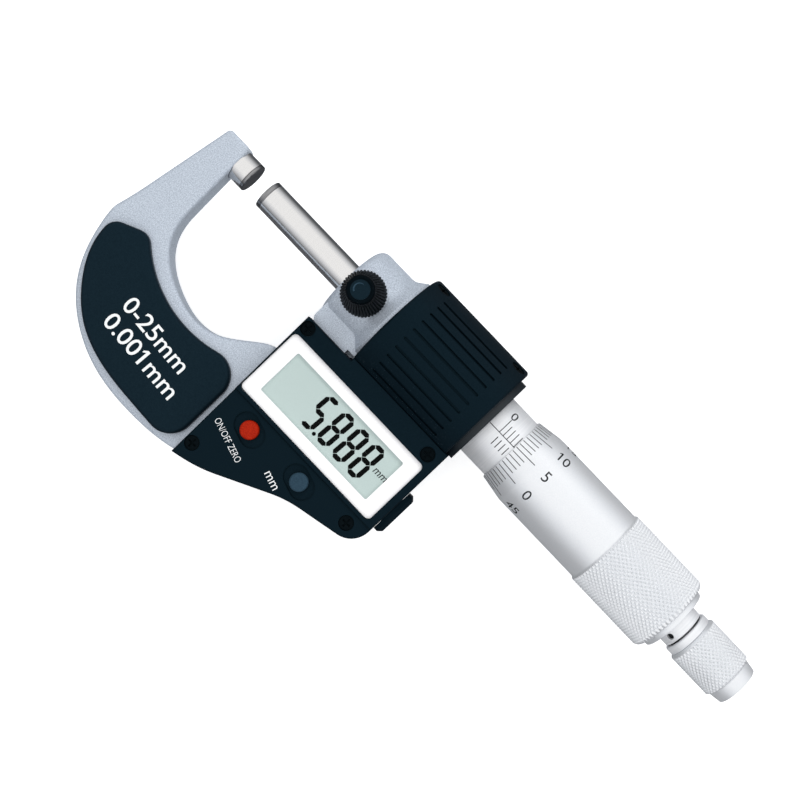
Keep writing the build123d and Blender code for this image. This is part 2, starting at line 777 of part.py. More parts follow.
with BuildPart() as rear_shell:
    with BuildSketch(Plane.XY):
        add(housing_face(0))
    extrude(amount=-back_plane)
    fillet(edges().group_by(Axis.Z)[0], 1.2)
    with BuildSketch(Plane.XY.offset(1)):
        add(housing_face(shell_wall))
    extrude(amount=inner_back - 1, mode=Mode.SUBTRACT)
    block((housing_left - 5, -60, -half), (plate_join + 0.1, 0, 1), mode=Mode.SUBTRACT)
    block((housing_left - 5, -housing_top - 2.6, -half), (cover_back - 1.1, 0, 1), mode=Mode.SUBTRACT)
    post(battery_place, inner_back - 0.5, -half - 0.1, cap_radius + 1.2)
    post(battery_place, -back_plane - 1, seal_shoulder, cap_radius + wall_gap, mode=Mode.SUBTRACT)
    post(battery_place, -back_plane - 1, 0, battery_radius + 0.15, mode=Mode.SUBTRACT)
    for place in rear_screws:
        post(place, inner_back - 0.5, -half, screw_post_radius)
        post(place, -back_plane - 1, rear_seat, screw_head + 0.1, mode=Mode.SUBTRACT)
        post(place, -back_plane, -half + 1, screw_radius + wall_gap, mode=Mode.SUBTRACT)
    block(
        (housing_right - 3, port_centre - port_half[0], -port_half[1]),
        (housing_right + 1, port_centre + port_half[0], port_half[1]),
        mode=Mode.SUBTRACT,
    )
finish(rear_shell.part, "rear_shell")

with BuildPart() as housing_screws:
    for place in front_screws:
        cross_screw(Plane(origin=(place[0], place[1], screw_seat)), screw_seat - 0.5)
finish(housing_screws.part, "housing_screws")

with BuildPart() as rear_cover_screws:
    for place in rear_screws:
        cross_screw(Plane(origin=(place[0], place[1], rear_seat), z_dir=(0, 0, -1)), -rear_seat - 0.5)
finish(rear_cover_screws.part, "rear_shell_screws")

# ---- Window, mask, LCD and circuit board ----
lens_top = housing_front - 0.1
mask_top = lens_top - lens_thickness
lcd_top = mask_top - mask_thickness
lcd_bottom = lcd_top - lcd_thickness

with BuildPart() as display_window:
    with BuildSketch(Plane.XY.offset(mask_top)):
        with Locations(window_place):
            RectangleRounded(window_size[0], window_size[1], 1.0)
    extrude(amount=lens_thickness)
finish(display_window.part, "display_window")

with BuildPart() as window_surround:
    with BuildSketch(Plane.XY.offset(lcd_top)):
        with Locations(window_place):
            RectangleRounded(window_size[0], window_size[1], 1.0)
            RectangleRounded(glass_size[0], glass_size[1], 0.4, mode=Mode.SUBTRACT)
    extrude(amount=mask_thickness)
finish(window_surround.part, "window_surround")

with BuildPart() as lcd_panel:
    with BuildSketch(Plane.XY.offset(lcd_bottom)):
        with Locations(window_place):
            Rectangle(glass_size[0] + 2.4, glass_size[1] + 2.4)
    extrude(amount=lcd_thickness)
finish(lcd_panel.part, "lcd_panel")

with BuildPart() as circuit_board:
    with BuildSketch(Plane.XY.offset(board_back)):
        add(housing_face(shell_wall + 0.4))
        with Locations(*front_screws):
            Circle(screw_post_radius + 0.2, mode=Mode.SUBTRACT)
    extrude(amount=board_thickness)
finish(circuit_board.part, "circuit_board")

# ---- Buttons and their switches ----
flange_top = cavity_top - 0.1
flange_bottom = flange_top - 0.5
stem_bottom = board_front + button_travel + 0.15
for place, name in zip(button_places, ("power_button", "unit_button")):
    with BuildPart() as button:
        post(place, flange_top - 0.01, panel_front + button_stand, button_radius)
        fillet(edges().group_by(Axis.Z)[-1], 0.45)
        post(place, flange_bottom, flange_top, button_radius + 0.5)
        post(place, stem_bottom, flange_bottom, 1.0)
    finish(button.part, name)

with BuildPart() as switch_domes:
    for place in button_places:
        post(place, board_front, board_front + 0.12, 1.7)
finish(switch_domes.part, "switch_domes")

# ---- Battery, contacts, cap and seal ----
with BuildPart() as battery:
    post(battery_place, battery_bottom, battery_top, battery_radius)
    fillet(edges().group_by(Axis.Z)[-1], 0.4)
finish(battery.part, "battery")

with BuildPart() as battery_contacts:
    for side in (-1, 1):
        contact_place = (battery_place[0] + side * 4.4, battery_place[1])
        post(contact_place, battery_top, board_back, 0.6)
finish(battery_contacts.part, "battery_contacts")

with BuildPart() as battery_cap:
    post(battery_place, cap_bottom, cap_top, cap_radius)
    with BuildSketch(Plane.XY.offset(cap_bottom)):
        with Locations(battery_place):
            SlotOverall(9.0, 1.6)
    extrude(amount=0.9, mode=Mode.SUBTRACT)
finish(battery_cap.part, "battery_cap")

with BuildPart() as battery_seal:
    post(battery_place, cap_top, seal_shoulder - 0.05, cap_radius - 0.1, battery_radius + 0.35)
finish(battery_seal.part, "battery_seal")

# ---- Data connector and its cover ----
with BuildPart() as data_connector:
    block(
        (housing_right - 5.8, port_centre - port_half[0] + 0.2, -port_half[1] + 0.1),
        (housing_right - 0.9, port_centre + port_half[0] - 0.2, port_half[1] - 0.1),
    )
    block(
        (housing_right - 3.6, port_centre - port_half[0] + 0.7, -port_half[1] + 0.6),
        (housing_right, port_centre + port_half[0] - 0.7, port_half[1] - 0.6),
        mode=Mode.SUBTRACT,
    )
finish(data_connector.part, "data_connector")

with BuildPart() as data_port_cover:
    with BuildSketch(Plane.YZ.offset(housing_right + wall_gap)):
        with Locations((port_centre, 0)):
            RectangleRounded(9.6, 8.4, 1.0)
    extrude(amount=1.75)
    chamfer(edges().group_by(Axis.X)[-1], 0.8)
    block(
        (housing_right - 0.7, port_centre - port_half[0] + slide_gap, -port_half[1] + slide_gap),
        (housing_right + 0.5, port_centre + port_half[0] - slide_gap, port_half[1] - slide_gap),
    )
finish(data_port_cover.part, "data_port_cover")
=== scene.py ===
# %% [markdown]
# # A digital outside micrometer
# The frame, the joints and every part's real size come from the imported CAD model. This notebook adds what
# a maker sees on the bench: the knurling, the engraved scales, the legends, the display and the finishes.
# Everything is in metres. +X runs along the spindle towards the thimble, the bow hangs towards -Y, and +Z
# comes out of the front of the display.

# %% Load the frame
import json
import math
import bmesh
import bpy
import numpy as np
from mathutils import Matrix, Vector


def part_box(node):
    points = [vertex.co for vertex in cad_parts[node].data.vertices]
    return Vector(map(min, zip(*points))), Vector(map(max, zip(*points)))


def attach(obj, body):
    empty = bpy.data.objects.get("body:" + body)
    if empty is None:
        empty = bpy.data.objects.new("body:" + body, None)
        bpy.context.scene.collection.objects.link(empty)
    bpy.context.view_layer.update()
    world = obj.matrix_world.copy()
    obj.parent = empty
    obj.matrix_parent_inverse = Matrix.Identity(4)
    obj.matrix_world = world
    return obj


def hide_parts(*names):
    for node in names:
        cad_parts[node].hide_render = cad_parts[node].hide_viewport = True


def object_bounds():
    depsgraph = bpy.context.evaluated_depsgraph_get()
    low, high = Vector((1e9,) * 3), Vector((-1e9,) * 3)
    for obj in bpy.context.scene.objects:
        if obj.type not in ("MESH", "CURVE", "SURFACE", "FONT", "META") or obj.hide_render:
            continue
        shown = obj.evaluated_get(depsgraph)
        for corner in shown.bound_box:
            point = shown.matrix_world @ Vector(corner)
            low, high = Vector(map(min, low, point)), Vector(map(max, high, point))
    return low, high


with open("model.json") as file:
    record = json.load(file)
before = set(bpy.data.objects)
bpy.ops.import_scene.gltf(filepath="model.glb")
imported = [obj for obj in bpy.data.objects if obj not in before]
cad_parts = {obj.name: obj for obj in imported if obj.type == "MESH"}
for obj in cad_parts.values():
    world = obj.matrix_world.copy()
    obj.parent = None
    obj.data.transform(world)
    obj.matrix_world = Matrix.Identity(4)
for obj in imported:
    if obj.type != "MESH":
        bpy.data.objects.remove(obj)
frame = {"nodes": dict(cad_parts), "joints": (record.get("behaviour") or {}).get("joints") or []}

cad_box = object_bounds()
mm = 0.001
print("CAD box, mm:", [[round(v / mm, 2) for v in corner] for corner in cad_box])

# %% [markdown]
# ## Surfaces from grids of points
# A turned piece is one profile carried round an axis. Blender's Screw modifier could do it, but a grid
# worked out with numpy lets the radius change with the angle as well, which is what knurling needs. The
# grid's columns close round the axis, and its rows either close into a ring-shaped solid or end in a pole.


# %% Mesh helpers
def add_object(name, data):
    """A new object that shows the data, linked to the scene."""
    piece = bpy.data.objects.new(name, data)
    bpy.context.scene.collection.objects.link(piece)
    return piece


def new_object(name, points, faces, sharp_degrees=35.0):
    """An object at the origin from points and faces, smooth except at edges sharper than the angle."""
    mesh = bpy.data.meshes.new(name)
    mesh.from_pydata(points.tolist(), [], faces)
    mesh.validate()
    piece = add_object(name, mesh)
    mesh.shade_smooth()
    mesh.set_sharp_from_angle(angle=math.radians(sharp_degrees))
    return piece


def signed_volume(points, faces):
    """Sum of p0 . (p1 x p2) / 6 over the triangles of a fan: positive when the faces point outwards."""
    total = 0.0
    for size in (3, 4):
        chosen = np.array([face for face in faces if len(face) == size], int)
        if len(chosen) == 0:
            continue
        for step in range(1, size - 1):
            a, b, c = (points[chosen[:, k]] for k in (0, step, step + 1))
            total += np.einsum("ij,ij->i", a, np.cross(b, c)).sum() / 6
    return total


def grid_solid(name, grid, close_rows=False, sharp_degrees=35.0):
    """A closed solid from a (rows, columns, 3) grid whose columns close round.

    Quad (i, j) joins rows i, i+1 and columns j, j+1. Rows close too, or the first and last rows shrink
    to a pole at their mean point.
    """
    rows, columns, _ = grid.shape
    points = grid.reshape(-1, 3)
    last = rows if close_rows else rows - 1
    i, j = np.meshgrid(np.arange(last), np.arange(columns), indexing="ij")
    next_i, next_j = (i + 1) % rows, (j + 1) % columns
    corners = [(i, j), (i, next_j), (next_i, next_j), (next_i, j)]
    quads = np.stack([row * columns + column for row, column in corners], -1)
    faces = quads.reshape(-1, 4).tolist()
    if not close_rows:
        for row, turn in ((0, False), (rows - 1, True)):
            pole = len(points)
            points = np.vstack([points, grid[row].mean(0)])
            ring = row * columns + np.arange(columns)
            ends = (np.roll(ring, -1), ring) if turn else (ring, np.roll(ring, -1))
            faces += np.stack([ends[1], ends[0], np.full(columns, pole)], -1).tolist()
    if signed_volume(points, faces) < 0:
        faces = [face[::-1] for face in faces]
    return new_object(name, points, faces, sharp_degrees)


def turned_grid(profile, segments, radius_at=None):
    """Points (x, r sin t, r cos t) for each profile point (x, r) and each angle t from +Z towards +Y.

    radius_at(x, t, r) may change the radius over the surface.
    """
    profile = np.asarray(profile, float)
    t = np.arange(segments) * (2 * np.pi / segments)
    x, angle = np.meshgrid(profile[:, 0], t, indexing="ij")
    r = np.repeat(profile[:, 1][:, None], segments, axis=1)
    if radius_at is not None:
        r = radius_at(x, angle, r)
    return np.stack([x, r * np.sin(angle), r * np.cos(angle)], -1)


def rounded(profile, radius, steps=3):
    """The profile with each inner corner replaced by a quadratic Bezier that reaches about that far.

    B(u) = (1 - u)^2 start + 2 u (1 - u) corner + u^2 end.
    """
    points = [np.array(p, float) for p in profile]
    out = [points[0]]
    for before, corner, after in zip(points, points[1:], points[2:]):
        into, leave = before - corner, after - corner
        reach_in = min(radius, np.linalg.norm(into) * 0.45)
        reach_out = min(radius, np.linalg.norm(leave) * 0.45)
        start = corner + into / np.linalg.norm(into) * reach_in
        end = corner + leave / np.linalg.norm(leave) * reach_out
        for u in np.linspace(0, 1, steps + 1):
            out.append((1 - u) ** 2 * start + 2 * u * (1 - u) * corner + u**2 * end)
    out.append(points[-1])
    return np.array(out)


def merged_copy(node, name, sharp_degrees=32.0):
    """A copy of a CAD node with its loose triangles merged, so that its curved faces shade smoothly."""
    source = frame["nodes"][node]
    mesh = source.data.copy()
    mesh.name = name
    mesh.materials.clear()
    working = bmesh.new()
    working.from_mesh(mesh)
    bmesh.ops.remove_doubles(working, verts=working.verts, dist=1e-7)
    working.to_mesh(mesh)
    working.free()
    piece = add_object(name, mesh)
    if "custom_normal" in mesh.attributes:
        mesh.attributes.remove(mesh.attributes["custom_normal"])
    mesh.shade_smooth()
    mesh.set_sharp_from_angle(angle=math.radians(sharp_degrees))
    return piece


def place(piece, body, slot, material, *nodes):
    """Ride on a body, take a material, and stand for the CAD nodes named. The slot is not used."""
    piece.data.materials.clear()
    piece.data.materials.append(material)
    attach(piece, body)
    if nodes:
        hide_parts(*nodes)
    print(piece.name, "triangles:", sum(len(p.vertices) - 2 for p in piece.data.polygons))
    return piece


# %% [markdown]
# ## Effects that several finishes share
# Speckle and turning grain are worked out once, as node groups with named inputs. Each material then mixes
# them in its own amounts. The groups only put out values that change over the surface, and
# the shader itself stays in the material, so that the finish can be baked.


# %% Node group helpers
def set_inputs(node, values):
    """Give a node's inputs their values by name."""
    for label, value in values.items():
        node.inputs[label].default_value = value


def new_group(name, inputs, outputs):
    """A shader node group with float inputs (name, default) and float outputs (name)."""
    group = bpy.data.node_groups.new(name, "ShaderNodeTree")
    for label, value in inputs:
        socket = group.interface.new_socket(label, in_out="INPUT", socket_type="NodeSocketFloat")
        socket.default_value = value
    for label in outputs:
        group.interface.new_socket(label, in_out="OUTPUT", socket_type="NodeSocketFloat")
    nodes = group.nodes
    return group, nodes, group.links, nodes.new("NodeGroupInput"), nodes.new("NodeGroupOutput")


def make_speckle_group():
    """Speckle: fine noise thresholded into flecks, and a slow noise for clouding."""
    group, nodes, links, enter, leave = new_group(
        "Speckle and cloud", [("Fleck scale", 3000.0), ("Cloud scale", 200.0)], ["Fleck", "Cloud"])
    where = nodes.new("ShaderNodeTexCoord")
    for label, detail in (("Fleck", 3.0), ("Cloud", 4.0)):
        noise = nodes.new("ShaderNodeTexNoise")
        set_inputs(noise, {"Detail": detail, "Roughness": 0.6})
        links.new(where.outputs["Object"], noise.inputs["Vector"])
        links.new(enter.outputs[label + " scale"], noise.inputs["Scale"])
        links.new(noise.outputs["Fac"], leave.inputs[label])
    return group


def make_turned_grain_group():
    """Turning marks: noise squeezed along the spindle axis, so that it makes rings round it."""
    group, nodes, links, enter, leave = new_group(
        "Turning marks", [("Ring scale", 4000.0), ("Round scale", 120.0)], ["Grain"])
    where = nodes.new("ShaderNodeTexCoord")
    split = nodes.new("ShaderNodeSeparateXYZ")
    join = nodes.new("ShaderNodeCombineXYZ")
    links.new(where.outputs["Object"], split.inputs[0])
    for axis, label in (("X", "Ring scale"), ("Y", "Round scale"), ("Z", "Round scale")):
        times = nodes.new("ShaderNodeMath")
        times.operation = "MULTIPLY"
        links.new(split.outputs[axis], times.inputs[0])
        links.new(enter.outputs[label], times.inputs[1])
        links.new(times.outputs[0], join.inputs[axis])
    noise = nodes.new("ShaderNodeTexNoise")
    set_inputs(noise, {"Scale": 1.0, "Detail": 2.0})
    links.new(join.outputs[0], noise.inputs["Vector"])
    links.new(noise.outputs["Fac"], leave.inputs["Grain"])
    return group


speckle_group = make_speckle_group()
grain_group = make_turned_grain_group()


# %% Material helper
def finish_material(name, colours, roughness, metallic=0.0, bump=0.0, fleck=3000.0, cloud=200.0,
                    turned=None, fleck_range=(0.35, 0.65), specular=0.5, tint=(1, 1, 1), bump_depth=0.00002):
    """A Principled material whose colour, roughness and bump follow the shared effects.

    colours are the darkest, middle and lightest colours that the flecks run through; roughness is a
    (smoothest, roughest) pair that the clouding runs through; turned swaps the flecks for turning marks.
    """
    material = bpy.data.materials.new(name)
    material.use_nodes = True
    nodes, links = material.node_tree.nodes, material.node_tree.links
    shader = nodes["Principled BSDF"]
    set_inputs(shader, {"Metallic": metallic, "Specular Tint": (*tint, 1), "Specular IOR Level": specular})
    speckle = nodes.new("ShaderNodeGroup")
    speckle.node_tree = speckle_group
    set_inputs(speckle, {"Fleck scale": fleck, "Cloud scale": cloud})
    pattern = speckle.outputs["Fleck"]
    if turned is not None:
        marks = nodes.new("ShaderNodeGroup")
        marks.node_tree = grain_group
        set_inputs(marks, {"Ring scale": turned[0], "Round scale": turned[1]})
        pattern = marks.outputs["Grain"]
    ramp = nodes.new("ShaderNodeValToRGB")
    stops = ramp.color_ramp.elements
    stops[0].position, stops[1].position = fleck_range
    stops[0].color = (*colours[0], 1)
    stops[1].color = (*colours[-1], 1)
    if len(colours) == 3:
        middle = stops.new(sum(fleck_range) / 2)
        middle.color = (*colours[1], 1)
    links.new(pattern, ramp.inputs["Fac"])
    links.new(ramp.outputs["Color"], shader.inputs["Base Color"])
    spread = nodes.new("ShaderNodeMapRange")
    set_inputs(spread, {"From Min": 0.3, "From Max": 0.7, "To Min": roughness[0], "To Max": roughness[1]})
    links.new(speckle.outputs["Cloud"], spread.inputs["Value"])
    links.new(spread.outputs["Result"], shader.inputs["Roughness"])
    if bump > 0:
        relief = nodes.new("ShaderNodeBump")
        set_inputs(relief, {"Strength": bump, "Distance": bump_depth})
        links.new(pattern, relief.inputs["Height"])
        links.new(relief.outputs["Normal"], shader.inputs["Normal"])
    return material


# %% [markdown]
# ## The finishes
# The frame is cast iron with a silver hammer paint: metal flake in a clear binder, so it shows fine
# light and dark flecks. The housings are moulded in a black, slightly blue plastic. The sleeve, the
# thimble and the ratchet are satin chrome plated, which is very light and spreads its highlights.

# %% Metals
hammer_paint = finish_material(
    "Silver hammer paint", [(0.30, 0.345, 0.41), (0.48, 0.535, 0.61), (0.68, 0.74, 0.82)], (0.38, 0.5),
    metallic=0.3, bump=0.5, fleck=4600.0, cloud=260.0, fleck_range=(0.28, 0.72), bump_depth=0.00003)
ground_steel = finish_material(
    "Ground spindle steel", [(0.80, 0.79, 0.78), (0.90, 0.89, 0.88)], (0.13, 0.19),
    metallic=1.0, bump=0.04, turned=(16000.0, 60.0), fleck_range=(0.1, 0.9), bump_depth=0.000001)
lapped_carbide = finish_material(
    "Lapped carbide", [(0.24, 0.24, 0.245), (0.36, 0.36, 0.365)], (0.16, 0.24),
    metallic=1.0, bump=0.1, turned=(7000.0, 300.0), bump_depth=0.000003)
satin_chrome = finish_material(
    "Satin chrome", [(0.82, 0.835, 0.86), (0.89, 0.90, 0.92)], (0.36, 0.46),
    metallic=0.5, bump=0.2, turned=(5000.0, 90.0), bump_depth=0.000006)
knurled_chrome = finish_material(
    "Knurled chrome", [(0.83, 0.85, 0.88), (0.90, 0.915, 0.935)], (0.28, 0.38),
    metallic=0.62, bump=0.2, fleck=6000.0, cloud=900.0, bump_depth=0.000006)
black_steel = finish_material(
    "Blackened steel", [(0.0008, 0.0018, 0.0024), (0.0026, 0.0042, 0.0052)], (0.3, 0.45),
    bump=0.3, fleck=5000.0, cloud=700.0, bump_depth=0.00001, specular=0.05, tint=(0.5, 0.8, 1.0))
turned_brass = finish_material(
    "Turned brass", [(0.55, 0.38, 0.14), (0.72, 0.53, 0.24)], (0.25, 0.35),
    metallic=1.0, bump=0.2, turned=(4000.0, 90.0), bump_depth=0.000006)
nickel_cell = finish_material(
    "Nickel plated cell", [(0.62, 0.61, 0.58), (0.76, 0.75, 0.72)], (0.2, 0.3),
    metallic=1.0, bump=0.1, fleck=3000.0, cloud=300.0)

# %% Plastics, rubber and ink
black_housing = finish_material(
    "Black housing plastic", [(0.0016, 0.0050, 0.0080), (0.0036, 0.0090, 0.0136)], (0.34, 0.46),
    bump=0.3, fleck=7000.0, cloud=240.0, bump_depth=0.00001, specular=0.09, tint=(0.35, 0.75, 1.0))
black_plate = finish_material(
    "Black plate plastic", [(0.0030, 0.0078, 0.0125), (0.0060, 0.0135, 0.0200)], (0.3, 0.42),
    bump=0.25, fleck=5200.0, cloud=160.0, bump_depth=0.00001, specular=0.12, tint=(0.35, 0.75, 1.0))
knob_plastic = finish_material(
    "Lock knob plastic", [(0.0006, 0.0012, 0.0018), (0.0022, 0.0036, 0.0050)], (0.38, 0.5),
    bump=0.3, fleck=6000.0, cloud=500.0, bump_depth=0.00001, specular=0.05, tint=(0.35, 0.75, 1.0))
red_plastic = finish_material(
    "Red button plastic", [(0.27, 0.008, 0.001), (0.42, 0.020, 0.004)], (0.34, 0.46),
    bump=0.2, fleck=5000.0, cloud=600.0, bump_depth=0.00001, specular=0.08)
slate_plastic = finish_material(
    "Slate button plastic", [(0.019, 0.042, 0.064), (0.029, 0.060, 0.088)], (0.36, 0.5),
    bump=0.2, fleck=5000.0, cloud=600.0, bump_depth=0.00001, specular=0.05)
white_print = finish_material(
    "White window print", [(0.93, 0.925, 0.935), (0.97, 0.965, 0.975)], (0.3, 0.4),
    bump=0.05, fleck=4000.0, cloud=200.0, bump_depth=0.000004)
lcd_glass = finish_material(
    "Liquid crystal glass", [(0.450, 0.545, 0.525), (0.490, 0.585, 0.565)], (0.2, 0.28),
    fleck=9000.0, cloud=120.0, specular=0.2)
lcd_ink = finish_material(
    "Display segment", [(0.0012, 0.0014, 0.0014), (0.004, 0.0045, 0.0045)], (0.4, 0.5),
    fleck=8000.0, cloud=900.0, specular=0.02)
white_ink = finish_material(
    "White legend ink", [(0.78, 0.8, 0.8), (0.9, 0.91, 0.91)], (0.4, 0.55),
    bump=0.2, fleck=6000.0, cloud=900.0, bump_depth=0.000005)
black_ink = finish_material(
    "Black scale ink", [(0.004, 0.005, 0.006), (0.014, 0.016, 0.018)], (0.5, 0.7),
    bump=0.2, fleck=6000.0, cloud=900.0, bump_depth=0.000005, specular=0.1)
seal_rubber = finish_material(
    "Seal rubber", [(0.008, 0.008, 0.008), (0.016, 0.016, 0.016)], (0.6, 0.75),
    bump=0.3, fleck=5000.0, cloud=600.0)
solder_mask = finish_material(
    "Green solder mask", [(0.006, 0.05, 0.02), (0.012, 0.09, 0.035)], (0.3, 0.4),
    bump=0.1, fleck=3000.0, cloud=300.0)

clear_lens = finish_material(
    "Clear lens", [(0.06, 0.07, 0.07), (0.08, 0.09, 0.09)], (0.03, 0.08), fleck=2000.0, cloud=60.0)
clear_lens.node_tree.nodes["Principled BSDF"].inputs["Alpha"].default_value = 0.006


# %% Dark end of the casting
def darken_beyond(material, along_x, colour):
    """Paint everything beyond a place along the spindle axis another colour, where the casting is masked."""
    nodes, links = material.node_tree.nodes, material.node_tree.links
    shader = nodes["Principled BSDF"]
    base = shader.inputs["Base Color"].links[0].from_socket
    where, split = nodes.new("ShaderNodeTexCoord"), nodes.new("ShaderNodeSeparateXYZ")
    beyond = nodes.new("ShaderNodeMath")
    beyond.operation = "GREATER_THAN"
    beyond.inputs[1].default_value = along_x
    mix = nodes.new("ShaderNodeMix")
    mix.data_type = "RGBA"
    mix.inputs["B"].default_value = (*colour, 1)
    shine = nodes.new("ShaderNodeMath")
    shine.operation = "MULTIPLY_ADD"
    shine.inputs[1].default_value = -shader.inputs["Metallic"].default_value
    shine.inputs[2].default_value = shader.inputs["Metallic"].default_value
    links.new(where.outputs["Object"], split.inputs[0])
    links.new(split.outputs["X"], beyond.inputs[0])
    links.new(beyond.outputs[0], mix.inputs["Factor"])
    links.new(base, mix.inputs["A"])
    links.new(mix.outputs["Result"], shader.inputs["Base Color"])
    links.new(beyond.outputs[0], shine.inputs[0])
    links.new(shine.outputs[0], shader.inputs["Metallic"])


darken_beyond(hammer_paint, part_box("encoder_cover")[1].x - 0.2 * mm, (0.004, 0.009, 0.013))
print("finishes:", len(bpy.data.materials))

# %% [markdown]
# ## The finishes on the CAD parts
# Parts whose CAD shape is already right keep it. Curved ones get a merged copy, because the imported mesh
# is loose triangles and shows its facets on a glossy finish. The clear lens lies on the white surround, so
# its underside is raised by a hair: two faces in one plane would flicker.

# %% Carried-over parts
flat_parts = {
    "window_surround": white_print,
    "lcd_panel": lcd_glass,
    "circuit_board": solder_mask,
    "encoder_stator": solder_mask,
    "encoder_rotor": solder_mask,
    "rotor_key": turned_brass,
    "rotor_bearing_plate": turned_brass,
    "rotor_clip": black_steel,
    "spindle_bush": black_steel,
    "lock_screw": black_steel,
    "lock_shoe": turned_brass,
    "barrel": ground_steel,
    "adjusting_nut": black_steel,
    "ratchet_driving_disc": black_steel,
    "ratchet_driven_disc": black_steel,
    "ratchet_spring": black_steel,
    "switch_domes": black_steel,
    "battery": nickel_cell,
    "battery_contacts": turned_brass,
    "battery_seal": seal_rubber,
    "data_connector": black_housing,
}
for node, material in flat_parts.items():
    mesh = frame["nodes"][node].data
    mesh.materials.clear()
    mesh.materials.append(material)

smooth_parts = [
    ("frame", "frame_casting", "frame_body", "frame_paint", hammer_paint),
    ("front_insulating_plate", "front_plate_moulding", "frame_body", "black_plate", black_plate),
    ("rear_insulating_plate", "rear_plate_moulding", "frame_body", "black_plate", black_plate),
    ("encoder_cover", "encoder_cover_moulding", "frame_body", "black_housing", black_housing),
    ("encoder_cover_screws", "encoder_screws", "frame_body", "dark_steel", black_steel),
    ("front_shell", "front_shell_moulding", "frame_body", "black_housing", black_housing),
    ("rear_shell", "rear_shell_moulding", "frame_body", "black_housing", black_housing),
    ("housing_screws", "front_screws", "frame_body", "dark_steel", black_steel),
    ("rear_shell_screws", "rear_screws", "frame_body", "dark_steel", black_steel),
    ("power_button", "power_button_cap", "power_button_body", "red_button", red_plastic),
    ("unit_button", "unit_button_cap", "unit_button_body", "blue_button", slate_plastic),
    ("battery_cap", "battery_cap_turned", "cap_body", "black_housing", black_housing),
    ("data_port_cover", "port_cover_moulding", "port_cover_body", "black_housing", black_housing),
    ("ratchet_body", "ratchet_neck", "spindle_body", "satin_chrome", satin_chrome),
    ("ratchet_end_screw", "end_screw", "spindle_body", "dark_steel", black_steel),
]
for node, name, body, slot, material in smooth_parts:
    place(merged_copy(node, name), body, slot, material, node)

lens = merged_copy("display_window", "display_lens")
lens_low, lens_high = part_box("display_window")
for vertex in lens.data.vertices:
    if vertex.co.z < (lens_low.z + lens_high.z) / 2:
        vertex.co.z += 0.03 * mm
place(lens, "frame_body", "window_clear", clear_lens, "display_window")

# %% [markdown]
# ## Anvil and spindle
# Both are ground cylinders tipped with a shorter, darker carbide slug. A turned profile with a tiny
# chamfer at each end catches the light as the real edge does.


# %% Ground cylinders
face_inset = 0.002 * mm


def ground_rod(name, node, chamfer, body, slot, material, segments=96):
    """A cylinder as long and as thick as the node's box, with a chamfer at both ends."""
    low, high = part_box(node)
    radius = (high.z - low.z) / 2
    start, end = low.x + face_inset, high.x - face_inset
    profile = [
        (start, radius * 0.02),
        (start, radius - chamfer),
        (start + chamfer, radius),
        (end - chamfer, radius),
        (end, radius - chamfer),
        (end, radius * 0.02),
    ]
    rod = grid_solid(name, turned_grid(profile, segments))
    return place(rod, body, slot, material, node)


ground_rod("anvil_face_tip", "anvil_tip", 0.12 * mm, "frame_body", "carbide", lapped_carbide)
ground_rod("spindle_face_tip", "spindle_tip", 0.12 * mm, "spindle_body", "carbide", lapped_carbide)
place(merged_copy("spindle", "spindle_shaft"), "spindle_body", "polished_steel", ground_steel, "spindle")
place(merged_copy("anvil", "anvil_shank"), "frame_body", "polished_steel", ground_steel, "anvil")

# %% [markdown]
# ## The thimble
# The thimble is a thin sleeve: a cone that carries the fifty-division scale, a plain band, a diamond
# knurl to grip, and an end flange. The knurl is real geometry. Two families of helical grooves cross, and
# the surface between them stands up as small pyramids with their tips taken off.


# %% Knurling
def knurl(x, angle, count, pitch):
    """Height from 0 in a groove to 1 on a tip.

    It is the lower of two triangle waves, which run along angle * count / turn plus or minus x / pitch.
    """
    across = angle * count / (2 * np.pi)
    along = x / pitch
    waves = [1 - np.abs(2 * np.mod(across + sign * along, 1.0) - 1) for sign in (1, -1)]
    return np.minimum(np.minimum(*waves), 0.8) / 0.8


def knurled_rows(start, end, pitch, samples):
    """Places along the axis, a fixed number to each pitch, so that every groove crossing has a point."""
    return np.linspace(start, end, int(round((end - start) / pitch * samples)) + 1)


def knurled_band(start, end, count, pitch, depth, blend):
    """A radius function: r - depth * (1 - knurl) between start and end, fading over the blend length."""
    def radius_at(x, angle, r):
        inside = np.clip((x - start) / blend, 0, 1) * np.clip((end - x) / blend, 0, 1)
        return r - depth * (1 - knurl(x - start, angle, count, pitch)) * inside * (r > 0.9 * r.max())
    return radius_at


# %% Thimble body
thimble_low, thimble_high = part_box("thimble")
thimble_edge = thimble_low.x
thimble_end = thimble_high.x
grip_radius = (thimble_high.z - thimble_low.z) / 2
bevel_length, plain_length, knurl_length = 5.55 * mm, 21.1 * mm, 18.9 * mm
edge_radius, plain_radius, flange_radius = 7.7 * mm, 8.6 * mm, 7.25 * mm
thimble_bore, tail_hole, end_wall = 7.4 * mm, 3.01 * mm, 4.1 * mm
grip_start = thimble_edge + bevel_length + plain_length
grip_end = grip_start + knurl_length
thimble_count, thimble_pitch, thimble_segments = 60, 1.26 * mm, 480

